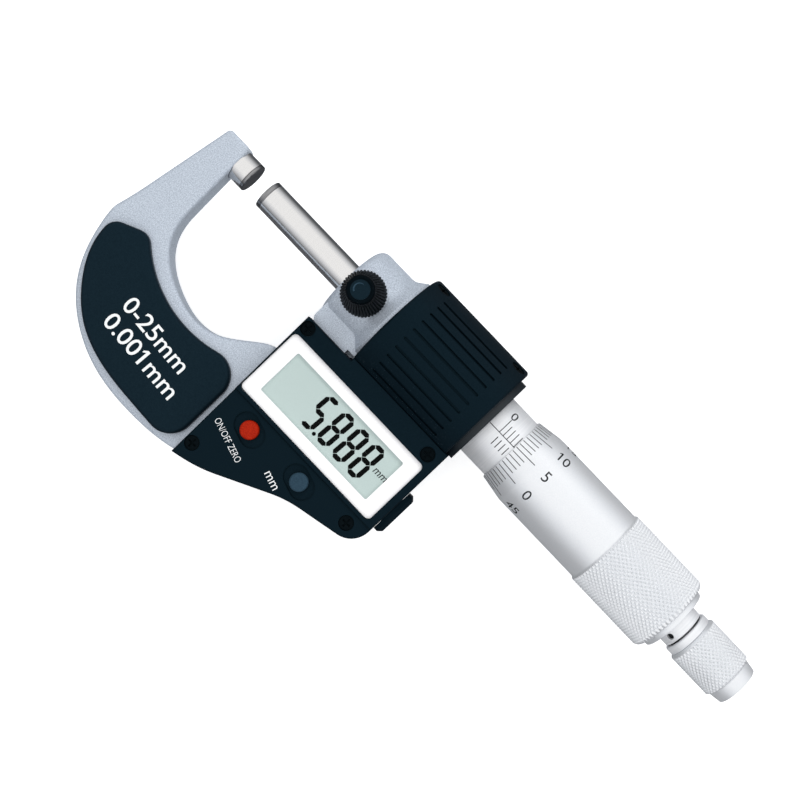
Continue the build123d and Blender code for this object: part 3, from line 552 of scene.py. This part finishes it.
outer = rounded([
    (thimble_edge + 0.02 * mm, thimble_bore),
    (thimble_edge + 0.02 * mm, edge_radius),
    (thimble_edge + bevel_length, plain_radius),
    (grip_start - 0.35 * mm, plain_radius),
    (grip_start, plain_radius + 0.02 * mm),
    (grip_start + 0.4 * mm, grip_radius),
], 0.15 * mm)
band = [(x, grip_radius) for x in knurled_rows(grip_start + 0.4 * mm, grip_end - 1.0 * mm, thimble_pitch, 8)]
back = rounded([
    (grip_end - 1.0 * mm, grip_radius),
    (grip_end - 0.25 * mm, grip_radius - 0.45 * mm),
    (grip_end, flange_radius + 0.5 * mm),
    (grip_end + 0.02 * mm, flange_radius),
    (thimble_end - 0.02 * mm, flange_radius),
    (thimble_end - 0.02 * mm, tail_hole),
    (thimble_end - end_wall, tail_hole),
    (thimble_end - end_wall, thimble_bore),
    (thimble_edge + 0.2 * mm, thimble_bore),
], 0.2 * mm)
thimble_profile = np.vstack([outer, band[1:-1], back])
thimble_grid = turned_grid(
    thimble_profile, thimble_segments,
    knurled_band(
        grip_start + 0.2 * mm, grip_end - 0.5 * mm, thimble_count, thimble_pitch, 0.40 * mm, 0.5 * mm))
thimble = grid_solid("thimble_turned", thimble_grid, close_rows=True, sharp_degrees=28)
place(thimble, "spindle_body", "satin_chrome", knurled_chrome, "thimble")

# %% [markdown]
# ## The ratchet knob
# The knob is a collar, a knurled grip and a plain tapered end, turned in the same way. Its end face is
# recessed for the retaining screw.

# %% Ratchet knob and collar
knob_low, knob_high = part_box("ratchet_knob")
knob_grip_radius = (knob_high.z - knob_low.z) / 2
knob_start, knob_end = knob_low.x, knob_high.x
collar_radius, knob_end_radius, knob_bore = 5.0 * mm, 4.6 * mm, 4.2 * mm
post_hole, screw_recess = 2.23 * mm, 3.3 * mm
knob_taper = 2.75 * mm
knob_grip_start, knob_grip_end = knob_start + 0.4 * mm, knob_end - knob_taper
knob_count, knob_pitch, knob_segments = 38, 1.15 * mm, 304
front_run = [
    (knob_start, knob_bore),
    (knob_start, collar_radius),
    (knob_grip_start, knob_grip_radius - 0.1 * mm),
]
grip_run = [(x, knob_grip_radius) for x in
            knurled_rows(knob_grip_start + 0.1 * mm, knob_grip_end - 0.3 * mm, knob_pitch, 8)]
back_run = rounded([
    (knob_grip_end - 0.3 * mm, knob_grip_radius),
    (knob_grip_end, collar_radius + 0.1 * mm),
    (knob_grip_end + 0.1 * mm, collar_radius - 0.02 * mm),
    (knob_end, knob_end_radius),
    (knob_end, screw_recess),
    (knob_end - 1.4 * mm, screw_recess),
    (knob_end - 1.4 * mm, post_hole),
    (knob_end - 2.2 * mm, post_hole),
    (knob_end - 2.2 * mm, knob_bore),
    (knob_start + 0.2 * mm, knob_bore),
], 0.2 * mm)
knob_grid = turned_grid(
    np.vstack([front_run, grip_run, back_run[1:]]), knob_segments,
    knurled_band(knob_grip_start, knob_grip_end, knob_count, knob_pitch, 0.34 * mm, 0.45 * mm))
ratchet_knob = grid_solid("ratchet_knob_turned", knob_grid, close_rows=True, sharp_degrees=28)
place(ratchet_knob, "ratchet_knob_body", "satin_chrome", knurled_chrome, "ratchet_knob")


def ring_piece(name, node, bore, round_size, body, slot, material, segments=128):
    """A ring that fills the node's box outside the bore, with softly rounded outer edges."""
    low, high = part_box(node)
    radius = (high.z - low.z) / 2
    profile = rounded([
        (low.x, bore), (low.x, radius), (high.x, radius), (high.x, bore), (low.x + 0.01 * mm, bore),
    ], round_size)
    turned = grid_solid(name, turned_grid(profile, segments), close_rows=True)
    return place(turned, body, slot, material, node)


ring_piece("ratchet_collar_turned", "ratchet_collar", knob_bore, 0.35 * mm,
           "ratchet_knob_body", "satin_chrome", satin_chrome)
ring_piece("sleeve_turned", "sleeve", 5.5 * mm, 0.1 * mm, "frame_body", "satin_chrome", satin_chrome)

# %% [markdown]
# The spanner hole in the ratchet's neck is deep, so a black disc lies just inside it as painted shade for the
# dark inside of the hole.

# %% Spanner hole
collar_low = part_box("ratchet_collar")[0]
spanner_angle, spanner_radius, spanner_depth = math.radians(-38.0), 0.66 * mm, 0.5 * mm
neck_radius = 4.5 * mm
spanner_outward = Vector((0, math.sin(spanner_angle), math.cos(spanner_angle)))
neck_middle = Vector(((thimble_end + collar_low.x) / 2, 0, 0))
spanner_place = neck_middle + spanner_outward * (neck_radius - spanner_depth)
turn_into_place = Vector((0, 0, 1)).rotation_difference(spanner_outward)
disc_points = []
for rise in (0.0, -0.2 * mm):
    for step in range(32):
        turn = 2 * math.pi * step / 32
        rim = Vector((spanner_radius * math.cos(turn), spanner_radius * math.sin(turn), rise))
        disc_points.append(spanner_place + turn_into_place @ rim)
disc_faces = [list(range(32)), list(range(63, 31, -1))]
disc_faces += [[k, k + 32, (k + 1) % 32 + 32, (k + 1) % 32] for k in range(32)]
# Painted shade: this black slab stands for the shadow deep in the spanner hole.
hole_shade_disc = new_object("spanner_hole_painted_shade", np.array(disc_points), disc_faces)
place(hole_shade_disc, "spindle_body", "dark_steel", black_ink)

# %% [markdown]
# ## The lock knob
# It is a moulded cone with about forty fine ridges running up its side, so that a fingertip can turn it.
# The ridges are a wave in the radius that fades out towards the flat top.

# %% Lock knob
lock_low, lock_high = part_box("lock_knob")
lock_centre = Vector(((lock_low.x + lock_high.x) / 2, (lock_low.y + lock_high.y) / 2, 0))
lock_base_radius = (lock_high.x - lock_low.x) / 2
lock_top_radius = 2.55 * mm
ridge_count, ridge_depth, ridge_samples = 42, 0.3 * mm, 8
lock_height = lock_high.z - lock_low.z


def lock_knob_grid():
    """Points at height z and angle t, with radius R(z) - depth * fade * (1 - |sin(count t / 2)|)."""
    profile = rounded([
        (0.0, 0.05 * mm),
        (0.0, lock_base_radius - 0.25 * mm),
        (0.25 * mm, lock_base_radius),
        (1.25 * mm, lock_base_radius),
        (lock_height - 0.5 * mm, lock_top_radius + 0.3 * mm),
        (lock_height, lock_top_radius),
        (lock_height, lock_top_radius - 0.35 * mm),
        (lock_height - 0.12 * mm, lock_top_radius - 0.5 * mm),
        (lock_height - 0.12 * mm, 0.05 * mm),
    ], 0.12 * mm)
    side_start, side_end = 0.3 * mm, lock_height - 0.6 * mm
    extra = np.linspace(1.6 * mm, lock_height - 1.0 * mm, 14)
    slope = (lock_top_radius + 0.3 * mm - lock_base_radius) / (lock_height - 1.75 * mm)
    added = np.stack([extra, lock_base_radius + slope * (extra - 1.25 * mm)], -1)
    split = int(np.searchsorted(profile[:, 0][:14], 1.5 * mm))
    profile = np.vstack([profile[:split], added, profile[split:]])
    segments = ridge_count * ridge_samples
    t = np.arange(segments) * (2 * np.pi / segments)
    z, angle = np.meshgrid(profile[:, 0], t, indexing="ij")
    r = np.repeat(profile[:, 1][:, None], segments, axis=1)
    fade = np.clip(z / side_start, 0, 1) * np.clip((side_end - z) / (0.8 * mm), 0, 1)
    wave = 1 - np.abs(np.sin(ridge_count * angle / 2)) ** 0.8
    outer_wall = r > lock_top_radius * 1.05
    r = r - ridge_depth * fade * wave * outer_wall * (0.45 + 0.55 * r / lock_base_radius)
    return np.stack([
        lock_centre.x + r * np.cos(angle), lock_centre.y + r * np.sin(angle), lock_low.z + z], -1)


lock_knob = grid_solid("lock_knob_moulded", lock_knob_grid(), sharp_degrees=30)
place(lock_knob, "lock_knob_body", "dark_steel", knob_plastic, "lock_knob")


def hook_outline(radius, width, start_degrees, end_degrees, samples=24):
    """A curved bar: the arc of a circle at radius +- width/2, narrowing to 0.4 of its width at the start."""
    t = np.radians(np.linspace(start_degrees, end_degrees, samples))
    half = width / 2 * np.linspace(0.4, 1.0, samples)
    outer_edge = np.stack([(radius + half) * np.cos(t), (radius + half) * np.sin(t)], -1)
    inner_edge = np.stack([(radius - half) * np.cos(t), (radius - half) * np.sin(t)], -1)
    return np.vstack([outer_edge, inner_edge[::-1]])


# %% [markdown]
# ## Scales
# A scale mark is a hair-thin slab of ink that follows the surface it is on: a patch of a cylinder or a
# cone, bounded by two places along the axis and two angles. All the marks of one scale are one piece.
# Numbers start as flat text, are cut into narrow strips so that they can bend, and are wrapped on.


# %% Mark and number helpers
ink_rise = 0.012 * mm
ink_sink = 0.03 * mm


def patch(x0, x1, a0, a1, radius_of, steps=(2, 6)):
    """Points and quads of a thin slab over x0..x1 and a0..a1, at radius_of(x) plus or minus the ink."""
    rows, columns = steps
    x, a = np.meshgrid(np.linspace(x0, x1, rows), np.linspace(a0, a1, columns), indexing="ij")
    layers = []
    for offset in (ink_rise, -ink_sink):
        r = radius_of(x) + offset
        layers.append(np.stack([x, r * np.sin(a), r * np.cos(a)], -1).reshape(-1, 3))
    count = rows * columns
    index = np.arange(count).reshape(rows, columns)
    quads = np.stack([index[:-1, :-1], index[1:, :-1], index[1:, 1:], index[:-1, 1:]], -1).reshape(-1, 4)
    rim = np.concatenate([index[0, :], index[1:, -1], index[-1, -2::-1], index[-2:0:-1, 0]])
    next_rim = np.roll(rim, -1)
    sides = np.stack([rim, next_rim, next_rim + count, rim + count], -1)
    faces = np.vstack([quads, quads[:, ::-1] + count, sides])
    return np.vstack(layers), faces


def marks_object(name, patches):
    """One object from many patches, each turned outwards if it came out inside out."""
    points, faces, start = [], [], 0
    for patch_points, patch_faces in patches:
        patch_list = patch_faces.tolist()
        if signed_volume(patch_points - patch_points.mean(0), patch_list) < 0:
            patch_list = [face[::-1] for face in patch_list]
        points.append(patch_points)
        faces += [[corner + start for corner in face] for face in patch_list]
        start += len(patch_points)
    return new_object(name, np.vstack(points), faces)


def circle_outline(radius, count, centre):
    """A circle's points: centre + radius (cos t, sin t)."""
    t = np.arange(count) * (2 * np.pi / count)
    return radius * np.stack([np.cos(t), np.sin(t)], -1) + np.array(centre)


def slab(outline, surface, thickness):
    """A flat outline as a closed prism standing on a surface."""
    count = len(outline)
    points = np.vstack([
        np.column_stack([outline, np.full(count, surface + thickness)]),
        np.column_stack([outline, np.full(count, surface)]),
    ])
    ring = np.arange(count)
    sides = [[int(k), int((k + 1) % count), int((k + 1) % count + count), int(k + count)] for k in ring]
    faces = [ring[::-1].tolist(), (ring + count).tolist()] + sides
    return points, faces


def add_slab(working, points, faces):
    """Put a slab into an open bmesh."""
    corners = [working.verts.new(point) for point in points]
    for face in faces:
        working.faces.new([corners[corner] for corner in face])


def mesh_points(mesh):
    """The mesh's points as an array."""
    points = np.empty(len(mesh.vertices) * 3)
    mesh.vertices.foreach_get("co", points)
    return points.reshape(-1, 3)


def line_of_text(words, weight, align="CENTER", extrude=0.0):
    """A line of text of size 1 as a mesh, standing on its baseline."""
    curve = bpy.data.curves.new(words, "FONT")
    curve.body, curve.offset, curve.align_x, curve.align_y = words, weight, align, "BOTTOM_BASELINE"
    curve.size, curve.resolution_u, curve.extrude = 1.0, 4, extrude
    holder = add_object(words, curve)
    bpy.context.view_layer.update()
    mesh = bpy.data.meshes.new_from_object(holder.evaluated_get(bpy.context.evaluated_depsgraph_get()))
    bpy.data.objects.remove(holder)
    bpy.data.curves.remove(curve)
    return mesh


def text_ends(words, weight, align):
    """The left-hand and right-hand ends of a line of text of size 1."""
    mesh = line_of_text(words, weight, align)
    across = mesh_points(mesh)[:, 0]
    bpy.data.meshes.remove(mesh)
    return across.min(), across.max()


def one_flags(words, weight):
    """The slanted flag that each figure 1 carries at its top left, as outlines for text centred on 0.

    The flag is a bar as thick as the upright, from the upright's top to a point down and to the left.
    """
    shift = text_ends(words, weight, "LEFT")[0] - text_ends(words, weight, "CENTER")[0]
    top, upright, clearance, reach = 0.682 + weight, 0.098 + 2 * weight, 0.002, 0.12
    flags = []
    for place_in_word, letter in enumerate(words):
        if letter == "1":
            edge = text_ends(words[:place_in_word + 1], weight, "LEFT")[1] - shift - upright - clearance
            flags.append(np.array([
                (edge, top), (edge - reach, top - 0.13),
                (edge - reach, top - 0.11 - upright), (edge, top - 0.01 - upright)]))
    return flags


def text_mesh(words, height, thickness, weight=0.0, strips=0.0):
    """Flat text as a closed mesh, its capitals as tall as the height, centred on the origin.

    strips cuts it into bands that high, so that it can bend round an axis along X.
    """
    half_thick, cap_height = 0.01, 0.7
    scale = height / cap_height
    mesh = line_of_text(words, weight, extrude=half_thick)
    flagged = bmesh.new()
    flagged.from_mesh(mesh)
    for outline in one_flags(words, weight):
        add_slab(flagged, *slab(outline, -half_thick, 2 * half_thick))
    flagged.to_mesh(mesh)
    flagged.free()
    mesh.transform(Matrix.Translation((0, -cap_height / 2, 0)))
    mesh.transform(Matrix.Diagonal((scale, scale, thickness / (2 * half_thick), 1)))
    working = bmesh.new()
    working.from_mesh(mesh)
    bmesh.ops.remove_doubles(working, verts=working.verts, dist=1e-7)
    bmesh.ops.triangulate(working, faces=working.faces)
    if strips > 0:
        for level in np.arange(-height, height, strips):
            everything = working.verts[:] + working.edges[:] + working.faces[:]
            bmesh.ops.bisect_plane(working, geom=everything, plane_co=(0, level, 0), plane_no=(0, 1, 0))
    bmesh.ops.recalc_face_normals(working, faces=working.faces)
    working.to_mesh(mesh)
    working.free()
    return mesh


def wrapped(mesh, x, angle, radius_of):
    """Bend flat text onto a turned surface: its width runs along the axis and its height round it."""
    points = mesh_points(mesh)
    along = x + points[:, 0]
    base = radius_of(along)
    turn = angle + points[:, 1] / base
    r = base + np.where(points[:, 2] > 0, ink_rise, -ink_sink)
    bent = np.stack([along, r * np.sin(turn), r * np.cos(turn)], -1)
    mesh.vertices.foreach_set("co", bent.ravel())
    mesh.update()
    return mesh


def joined(name, meshes):
    """One object holding all the meshes, which it uses up."""
    working = bmesh.new()
    for mesh in meshes:
        working.from_mesh(mesh)
    whole = bpy.data.meshes.new(name)
    working.to_mesh(whole)
    working.free()
    for mesh in meshes:
        bpy.data.meshes.remove(mesh)
    piece = add_object(name, whole)
    whole.set_sharp_from_angle(angle=math.radians(35.0))
    return piece


# %% [markdown]
# ### The thimble's scale
# Fifty divisions go round the cone, one for each hundredth of a millimetre of spindle travel. Every fifth
# mark is longer and numbered. The numbers grow in the direction that brings them down to the index line
# as the thimble is unscrewed.

# %% Thimble scale
division = 2 * np.pi / 50
index_angle = math.radians(4.7)
five_angle = math.radians(7.4)
mark_width = 0.17 * mm


def cone_radius(x):
    """The thimble's outer radius at a place along its axis: a cone, then the plain band."""
    share = np.clip((np.asarray(x) - thimble_edge) / bevel_length, 0, 1)
    return edge_radius + (plain_radius - edge_radius) * share


thimble_patches, thimble_numbers = [], []
for step in range(50):
    middle = five_angle + (step - 5) * division
    length = (5.2 if step % 5 == 0 else 3.35) * mm
    half_turn = mark_width / 2 / plain_radius
    thimble_patches.append(patch(
        thimble_edge + 0.2 * mm, thimble_edge + length, middle - half_turn, middle + half_turn,
        cone_radius, (5, 2)))
    if step % 5 == 0:
        number = text_mesh(str(step), 2.3 * mm, 0.05 * mm, strips=0.22 * mm)
        thimble_numbers.append(wrapped(number, thimble_edge + 8.4 * mm, middle + 0.012, cone_radius))
place(marks_object("thimble_graduations", thimble_patches), "spindle_body", "satin_chrome", black_ink)
place(joined("thimble_numbers", thimble_numbers), "spindle_body", "satin_chrome", black_ink)

# %% [markdown]
# ### The sleeve's scale
# A long index line runs along the sleeve. Whole millimetres stand above it and half millimetres hang
# below it, and every fifth millimetre is longer and numbered.

# %% Sleeve scale
sleeve_low, sleeve_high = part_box("sleeve")
sleeve_radius = (sleeve_high.z - sleeve_low.z) / 2
travel = [joint for joint in frame["joints"] if joint["name"] == "spindle_travel"][0]["range_m"]
zero_place = thimble_edge + round(travel[0] / mm, 2) * mm - 0.14 * mm


def sleeve_surface(x):
    """The sleeve's radius, the same all along it."""
    return np.full_like(np.asarray(x, float), sleeve_radius)


def round_mark(x, start, end, width):
    """A mark across the index line, from start to end measured round the sleeve from that line."""
    a0, a1 = index_angle + start / sleeve_radius, index_angle + end / sleeve_radius
    return patch(x - width / 2, x + width / 2, a0, a1, sleeve_surface, (2, 8))


line_half = 0.08 * mm / sleeve_radius
sleeve_patches = [patch(
    sleeve_low.x + 0.1 * mm, sleeve_high.x - 0.3 * mm, index_angle - line_half, index_angle + line_half,
    sleeve_surface, (2, 2))]
sleeve_numbers = []
for millimetre in range(26):
    x = zero_place + millimetre * mm
    long_mark = millimetre % 5 == 0
    sleeve_patches.append(round_mark(x, 0.0, (3.6 if long_mark else 2.6) * mm, 0.16 * mm))
    if millimetre < 25:
        sleeve_patches.append(round_mark(x + 0.5 * mm, -2.8 * mm, -0.8 * mm, 0.18 * mm))
    if long_mark:
        number = text_mesh(str(millimetre), 2.05 * mm, 0.05 * mm, strips=0.22 * mm)
        sleeve_numbers.append(wrapped(number, x, index_angle + 4.75 * mm / sleeve_radius, sleeve_surface))
place(marks_object("sleeve_graduations", sleeve_patches), "frame_body", "satin_chrome", black_ink)
place(joined("sleeve_numbers", sleeve_numbers), "frame_body", "satin_chrome", black_ink)

# %% [markdown]
# ## Flat legends
# The range and the resolution are printed in white on the insulating plate, and the buttons' uses beside
# them. Each legend is text laid on the plate's front face, turned in that plane.


# %% Legends
print_thickness = 0.03 * mm


def legend(name, words, left, right, baseline_left, height, slope, surface, slot, material,
           weight=0.0, italic=0.0):
    """Text whose line runs from left to right at the slope, starting at baseline_left, on a flat surface."""
    mesh = text_mesh(words, height, print_thickness, weight=weight)
    points = mesh_points(mesh)
    span = points[:, 0].max() - points[:, 0].min()
    stretch = (right - left) / math.cos(slope) / span
    points[:, 0] = (points[:, 0] - points[:, 0].min()) * stretch
    points[:, 1] += height / 2
    points[:, 0] += points[:, 1] * italic
    turned_x = left + points[:, 0] * math.cos(slope) - points[:, 1] * math.sin(slope)
    turned_y = baseline_left + points[:, 0] * math.sin(slope) + points[:, 1] * math.cos(slope)
    mesh.vertices.foreach_set("co", np.stack([turned_x, turned_y, surface + points[:, 2]], -1).ravel())
    mesh.update()
    place(joined(name, [mesh]), "frame_body", slot, material)


plate_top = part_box("front_insulating_plate")[1].z
panel_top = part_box("front_shell")[1].z - 0.5 * mm
print_slope = math.radians(-3.6)
button_slope = math.radians(-17.0)
white_legends = [
    ("range_legend", "0-25mm", 1.25, 18.85, -36.3, 3.5, print_slope, plate_top, "black_plate", 0.006),
    ("resolution_legend", "0.001mm", 0.85, 21.05, -41.2, 3.5, print_slope, plate_top, "black_plate", 0.006),
    ("power_legend", "ON/OFF ZERO", 30.6, 39.6, -38.1, 1.4, button_slope, panel_top, "black_housing", -0.012),
    ("unit_legend", "mm", 44.9, 48.5, -38.2, 1.9, button_slope, panel_top, "black_housing", -0.005),
]
for name, words, left, right, baseline, size, *printed_on, weight in white_legends:
    legend(name, words, left * mm, right * mm, baseline * mm, size * mm, *printed_on, white_ink, weight)

# %% [markdown]
# ## The display
# The liquid crystal shows four slanted digits of seven segments each. A segment is a bar with pointed
# ends. They lie on the glass, under the clear lens.

# %% Seven-segment digits
lcd_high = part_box("lcd_panel")[1]
digit_width, digit_height, stroke, gap = 3.35 * mm, 8.2 * mm, 0.98 * mm, 0.07 * mm
lean = 0.055
segment_bars = {
    "a": ((0, 1), (1, 1)), "g": ((0, 0.5), (1, 0.5)), "d": ((0, 0), (1, 0)),
    "f": ((0, 0.5), (0, 1)), "e": ((0, 0), (0, 0.5)), "b": ((1, 0.5), (1, 1)), "c": ((1, 0), (1, 0.5)),
}
segments_of = {"5": "afgcd", "8": "abcdefg"}


def bar_outline(start, end):
    """The six corners of a bar with pointed ends between two points, half a stroke to each side."""
    start, end = np.array(start), np.array(end)
    along = (end - start) / np.linalg.norm(end - start)
    across = np.array([-along[1], along[0]]) * stroke / 2
    near, far = start + along * gap, end - along * gap
    return np.array([
        near, near + along * stroke / 2 - across, far - along * stroke / 2 - across,
        far, far - along * stroke / 2 + across, near + along * stroke / 2 + across,
    ])


def digit_slabs(figure, centre_x, base_y):
    """The lit segments of one figure, leaning to the right."""
    slabs = []
    frame_size = np.array([digit_width - stroke, digit_height - stroke])
    for name in segments_of[figure]:
        ends = [np.array(corner) * frame_size + stroke / 2 for corner in segment_bars[name]]
        outline = bar_outline(*ends)
        outline[:, 0] += outline[:, 1] * lean - digit_width / 2 + centre_x - digit_height / 2 * lean
        outline[:, 1] += base_y
        slabs.append(slab(outline, lcd_high.z, print_thickness))
    return slabs


def slabs_object(name, slabs):
    """One object from many prisms, with outward faces."""
    working = bmesh.new()
    for points, faces in slabs:
        add_slab(working, points, faces)
    bmesh.ops.recalc_face_normals(working, faces=working.faces)
    mesh = bpy.data.meshes.new(name)
    working.to_mesh(mesh)
    working.free()
    return add_object(name, mesh)


digit_base = -26.3 * mm
slabs = []
for figure, centre in zip("5888", (43.85, 48.3, 52.6, 56.85)):
    slabs += digit_slabs(figure, centre * mm, digit_base)
decimal_point = circle_outline(0.4 * mm, 12, (45.95 * mm, digit_base + 0.45 * mm))
slabs.append(slab(decimal_point, lcd_high.z, print_thickness))
place(slabs_object("display_digits", slabs), "frame_body", "lcd", lcd_ink)
legend("display_unit", "mm", 59.1 * mm, 62.2 * mm, -22.6 * mm, 1.6 * mm, 0.0, lcd_high.z + 0.015 * mm,
       "lcd", lcd_ink, italic=0.15)

# %% [markdown]
# The lock knob's flat top has a paler dial with a small hook that shows which way it tightens. Both are the
# same kind of slab as a display segment: an outline on a flat face.

# %% Hook on the lock knob
hook = hook_outline(1.15 * mm, 0.32 * mm, 95, 245) + np.array([lock_centre.x - 0.15 * mm, lock_centre.y])
hook_slab = slab(hook, lock_high.z - 0.10 * mm, 0.06 * mm)
place(slabs_object("lock_knob_hook", [hook_slab]), "lock_knob_body", "dark_steel", slate_plastic)
dial = circle_outline(lock_top_radius - 0.62 * mm, 48, lock_centre[:2])
dial_slab = slab(dial, lock_high.z - 0.16 * mm, 0.08 * mm)
place(slabs_object("lock_knob_dial", [dial_slab]), "lock_knob_body", "dark_steel", black_plate)

# %% [markdown]
# ## Studio
# The tool lies on its back on a plain pale floor. A pale dome and two large soft lamps light it. Polished
# cylinders look right only if they have something dark to reflect at their edges, so the dome darkens
# below the horizon and the floor is left out of reflections.

# %% Floor and world
floor_level = cad_box[0].z
bpy.ops.mesh.primitive_plane_add(size=40, location=(0.05, 0, floor_level - 0.0002))
floor = bpy.context.object
floor.name = "floor"
floor_material = bpy.data.materials.new("Pale floor")
floor_material.use_nodes = True
floor_shader = floor_material.node_tree.nodes["Principled BSDF"]
set_inputs(floor_shader, {
    "Base Color": (0.93, 0.935, 0.94, 1), "Roughness": 0.9, "Specular IOR Level": 0.1,
    "Emission Color": (1, 1, 1, 1), "Emission Strength": 0.5})
floor.data.materials.append(floor_material)
floor.visible_glossy = False

world = bpy.data.worlds.new("studio")
bpy.context.scene.world = world
world.use_nodes = True
world_nodes, world_links = world.node_tree.nodes, world.node_tree.links
direction = world_nodes.new("ShaderNodeTexCoord")
height = world_nodes.new("ShaderNodeVectorMath")
height.operation = "DOT_PRODUCT"
height.inputs[1].default_value = (0.0, 0.20, 0.94)
shade = world_nodes.new("ShaderNodeValToRGB")
stops = shade.color_ramp.elements
stops[0].position, stops[0].color = 0.35, (0.10, 0.105, 0.115, 1)
stops[1].position, stops[1].color = 0.86, (1.0, 1.0, 1.0, 1)
for place_of, level in ((0.5, 0.3), (0.68, 0.7)):
    stop = stops.new(place_of)
    stop.color = (level * 0.97, level * 0.99, level * 1.03, 1)
spread = world_nodes.new("ShaderNodeMapRange")
spread.inputs["From Min"].default_value = -1.0
world_links.new(direction.outputs["Generated"], height.inputs[0])
world_links.new(height.outputs["Value"], spread.inputs["Value"])
world_links.new(spread.outputs["Result"], shade.inputs["Fac"])
world_links.new(shade.outputs["Color"], world_nodes["Background"].inputs["Color"])
world_nodes["Background"].inputs["Strength"].default_value = 0.95


# %% Lamps
def soft_lamp(name, place_at, aim, size, power):
    """A square area lamp at a place, facing a point."""
    lamp = bpy.data.lights.new(name, "AREA")
    lamp.shape = "SQUARE"
    lamp.size = size
    lamp.energy = power
    holder = add_object(name, lamp)
    holder.location = place_at
    holder.rotation_mode = "QUATERNION"
    holder.rotation_quaternion = (Vector(aim) - Vector(place_at)).to_track_quat("-Z", "Y")
    holder.visible_glossy = False


middle_of_tool = (0.055, -0.015, 0.0)
soft_lamp("key", (-0.05, 0.50, 0.42), middle_of_tool, 0.40, 1.75)
soft_lamp("fill", (0.40, -0.30, 0.50), middle_of_tool, 0.5, 1.1)

# %% [markdown]
# ## Camera
# The camera looks down on the tool from about 0.29 m, above the encoder cover, and is rolled so
# that the spindle runs down to the right. A little lens shift keeps the image plane nearly parallel to
# the tool, which keeps the parallel edges parallel.

# %% Camera
roll = math.radians(46.4)
image_up = Vector((-math.sin(roll), math.cos(roll), 0))
eye = Vector((0.0670, -0.0031, 0.2901))
aim_point = Vector((0.06016, -0.0067, 0.0))
forward = (aim_point - eye).normalized()
right = forward.cross(image_up).normalized()
up = right.cross(forward).normalized()
camera_data = bpy.data.cameras.new("camera")
camera_data.sensor_width = 36.0
camera_data.lens = 65.33
camera_data.shift_x, camera_data.shift_y = -0.045, 0.024
camera_data.clip_start = 0.01
camera = add_object("camera", camera_data)
camera.matrix_world = Matrix((
    (right.x, up.x, -forward.x, eye.x),
    (right.y, up.y, -forward.y, eye.y),
    (right.z, up.z, -forward.z, eye.z),
    (0, 0, 0, 1),
))
bpy.context.scene.camera = camera
bpy.context.scene.view_settings.view_transform = "Standard"
print("camera tilt, degrees:", round(math.degrees(forward.angle(Vector((0, 0, -1)))), 2))
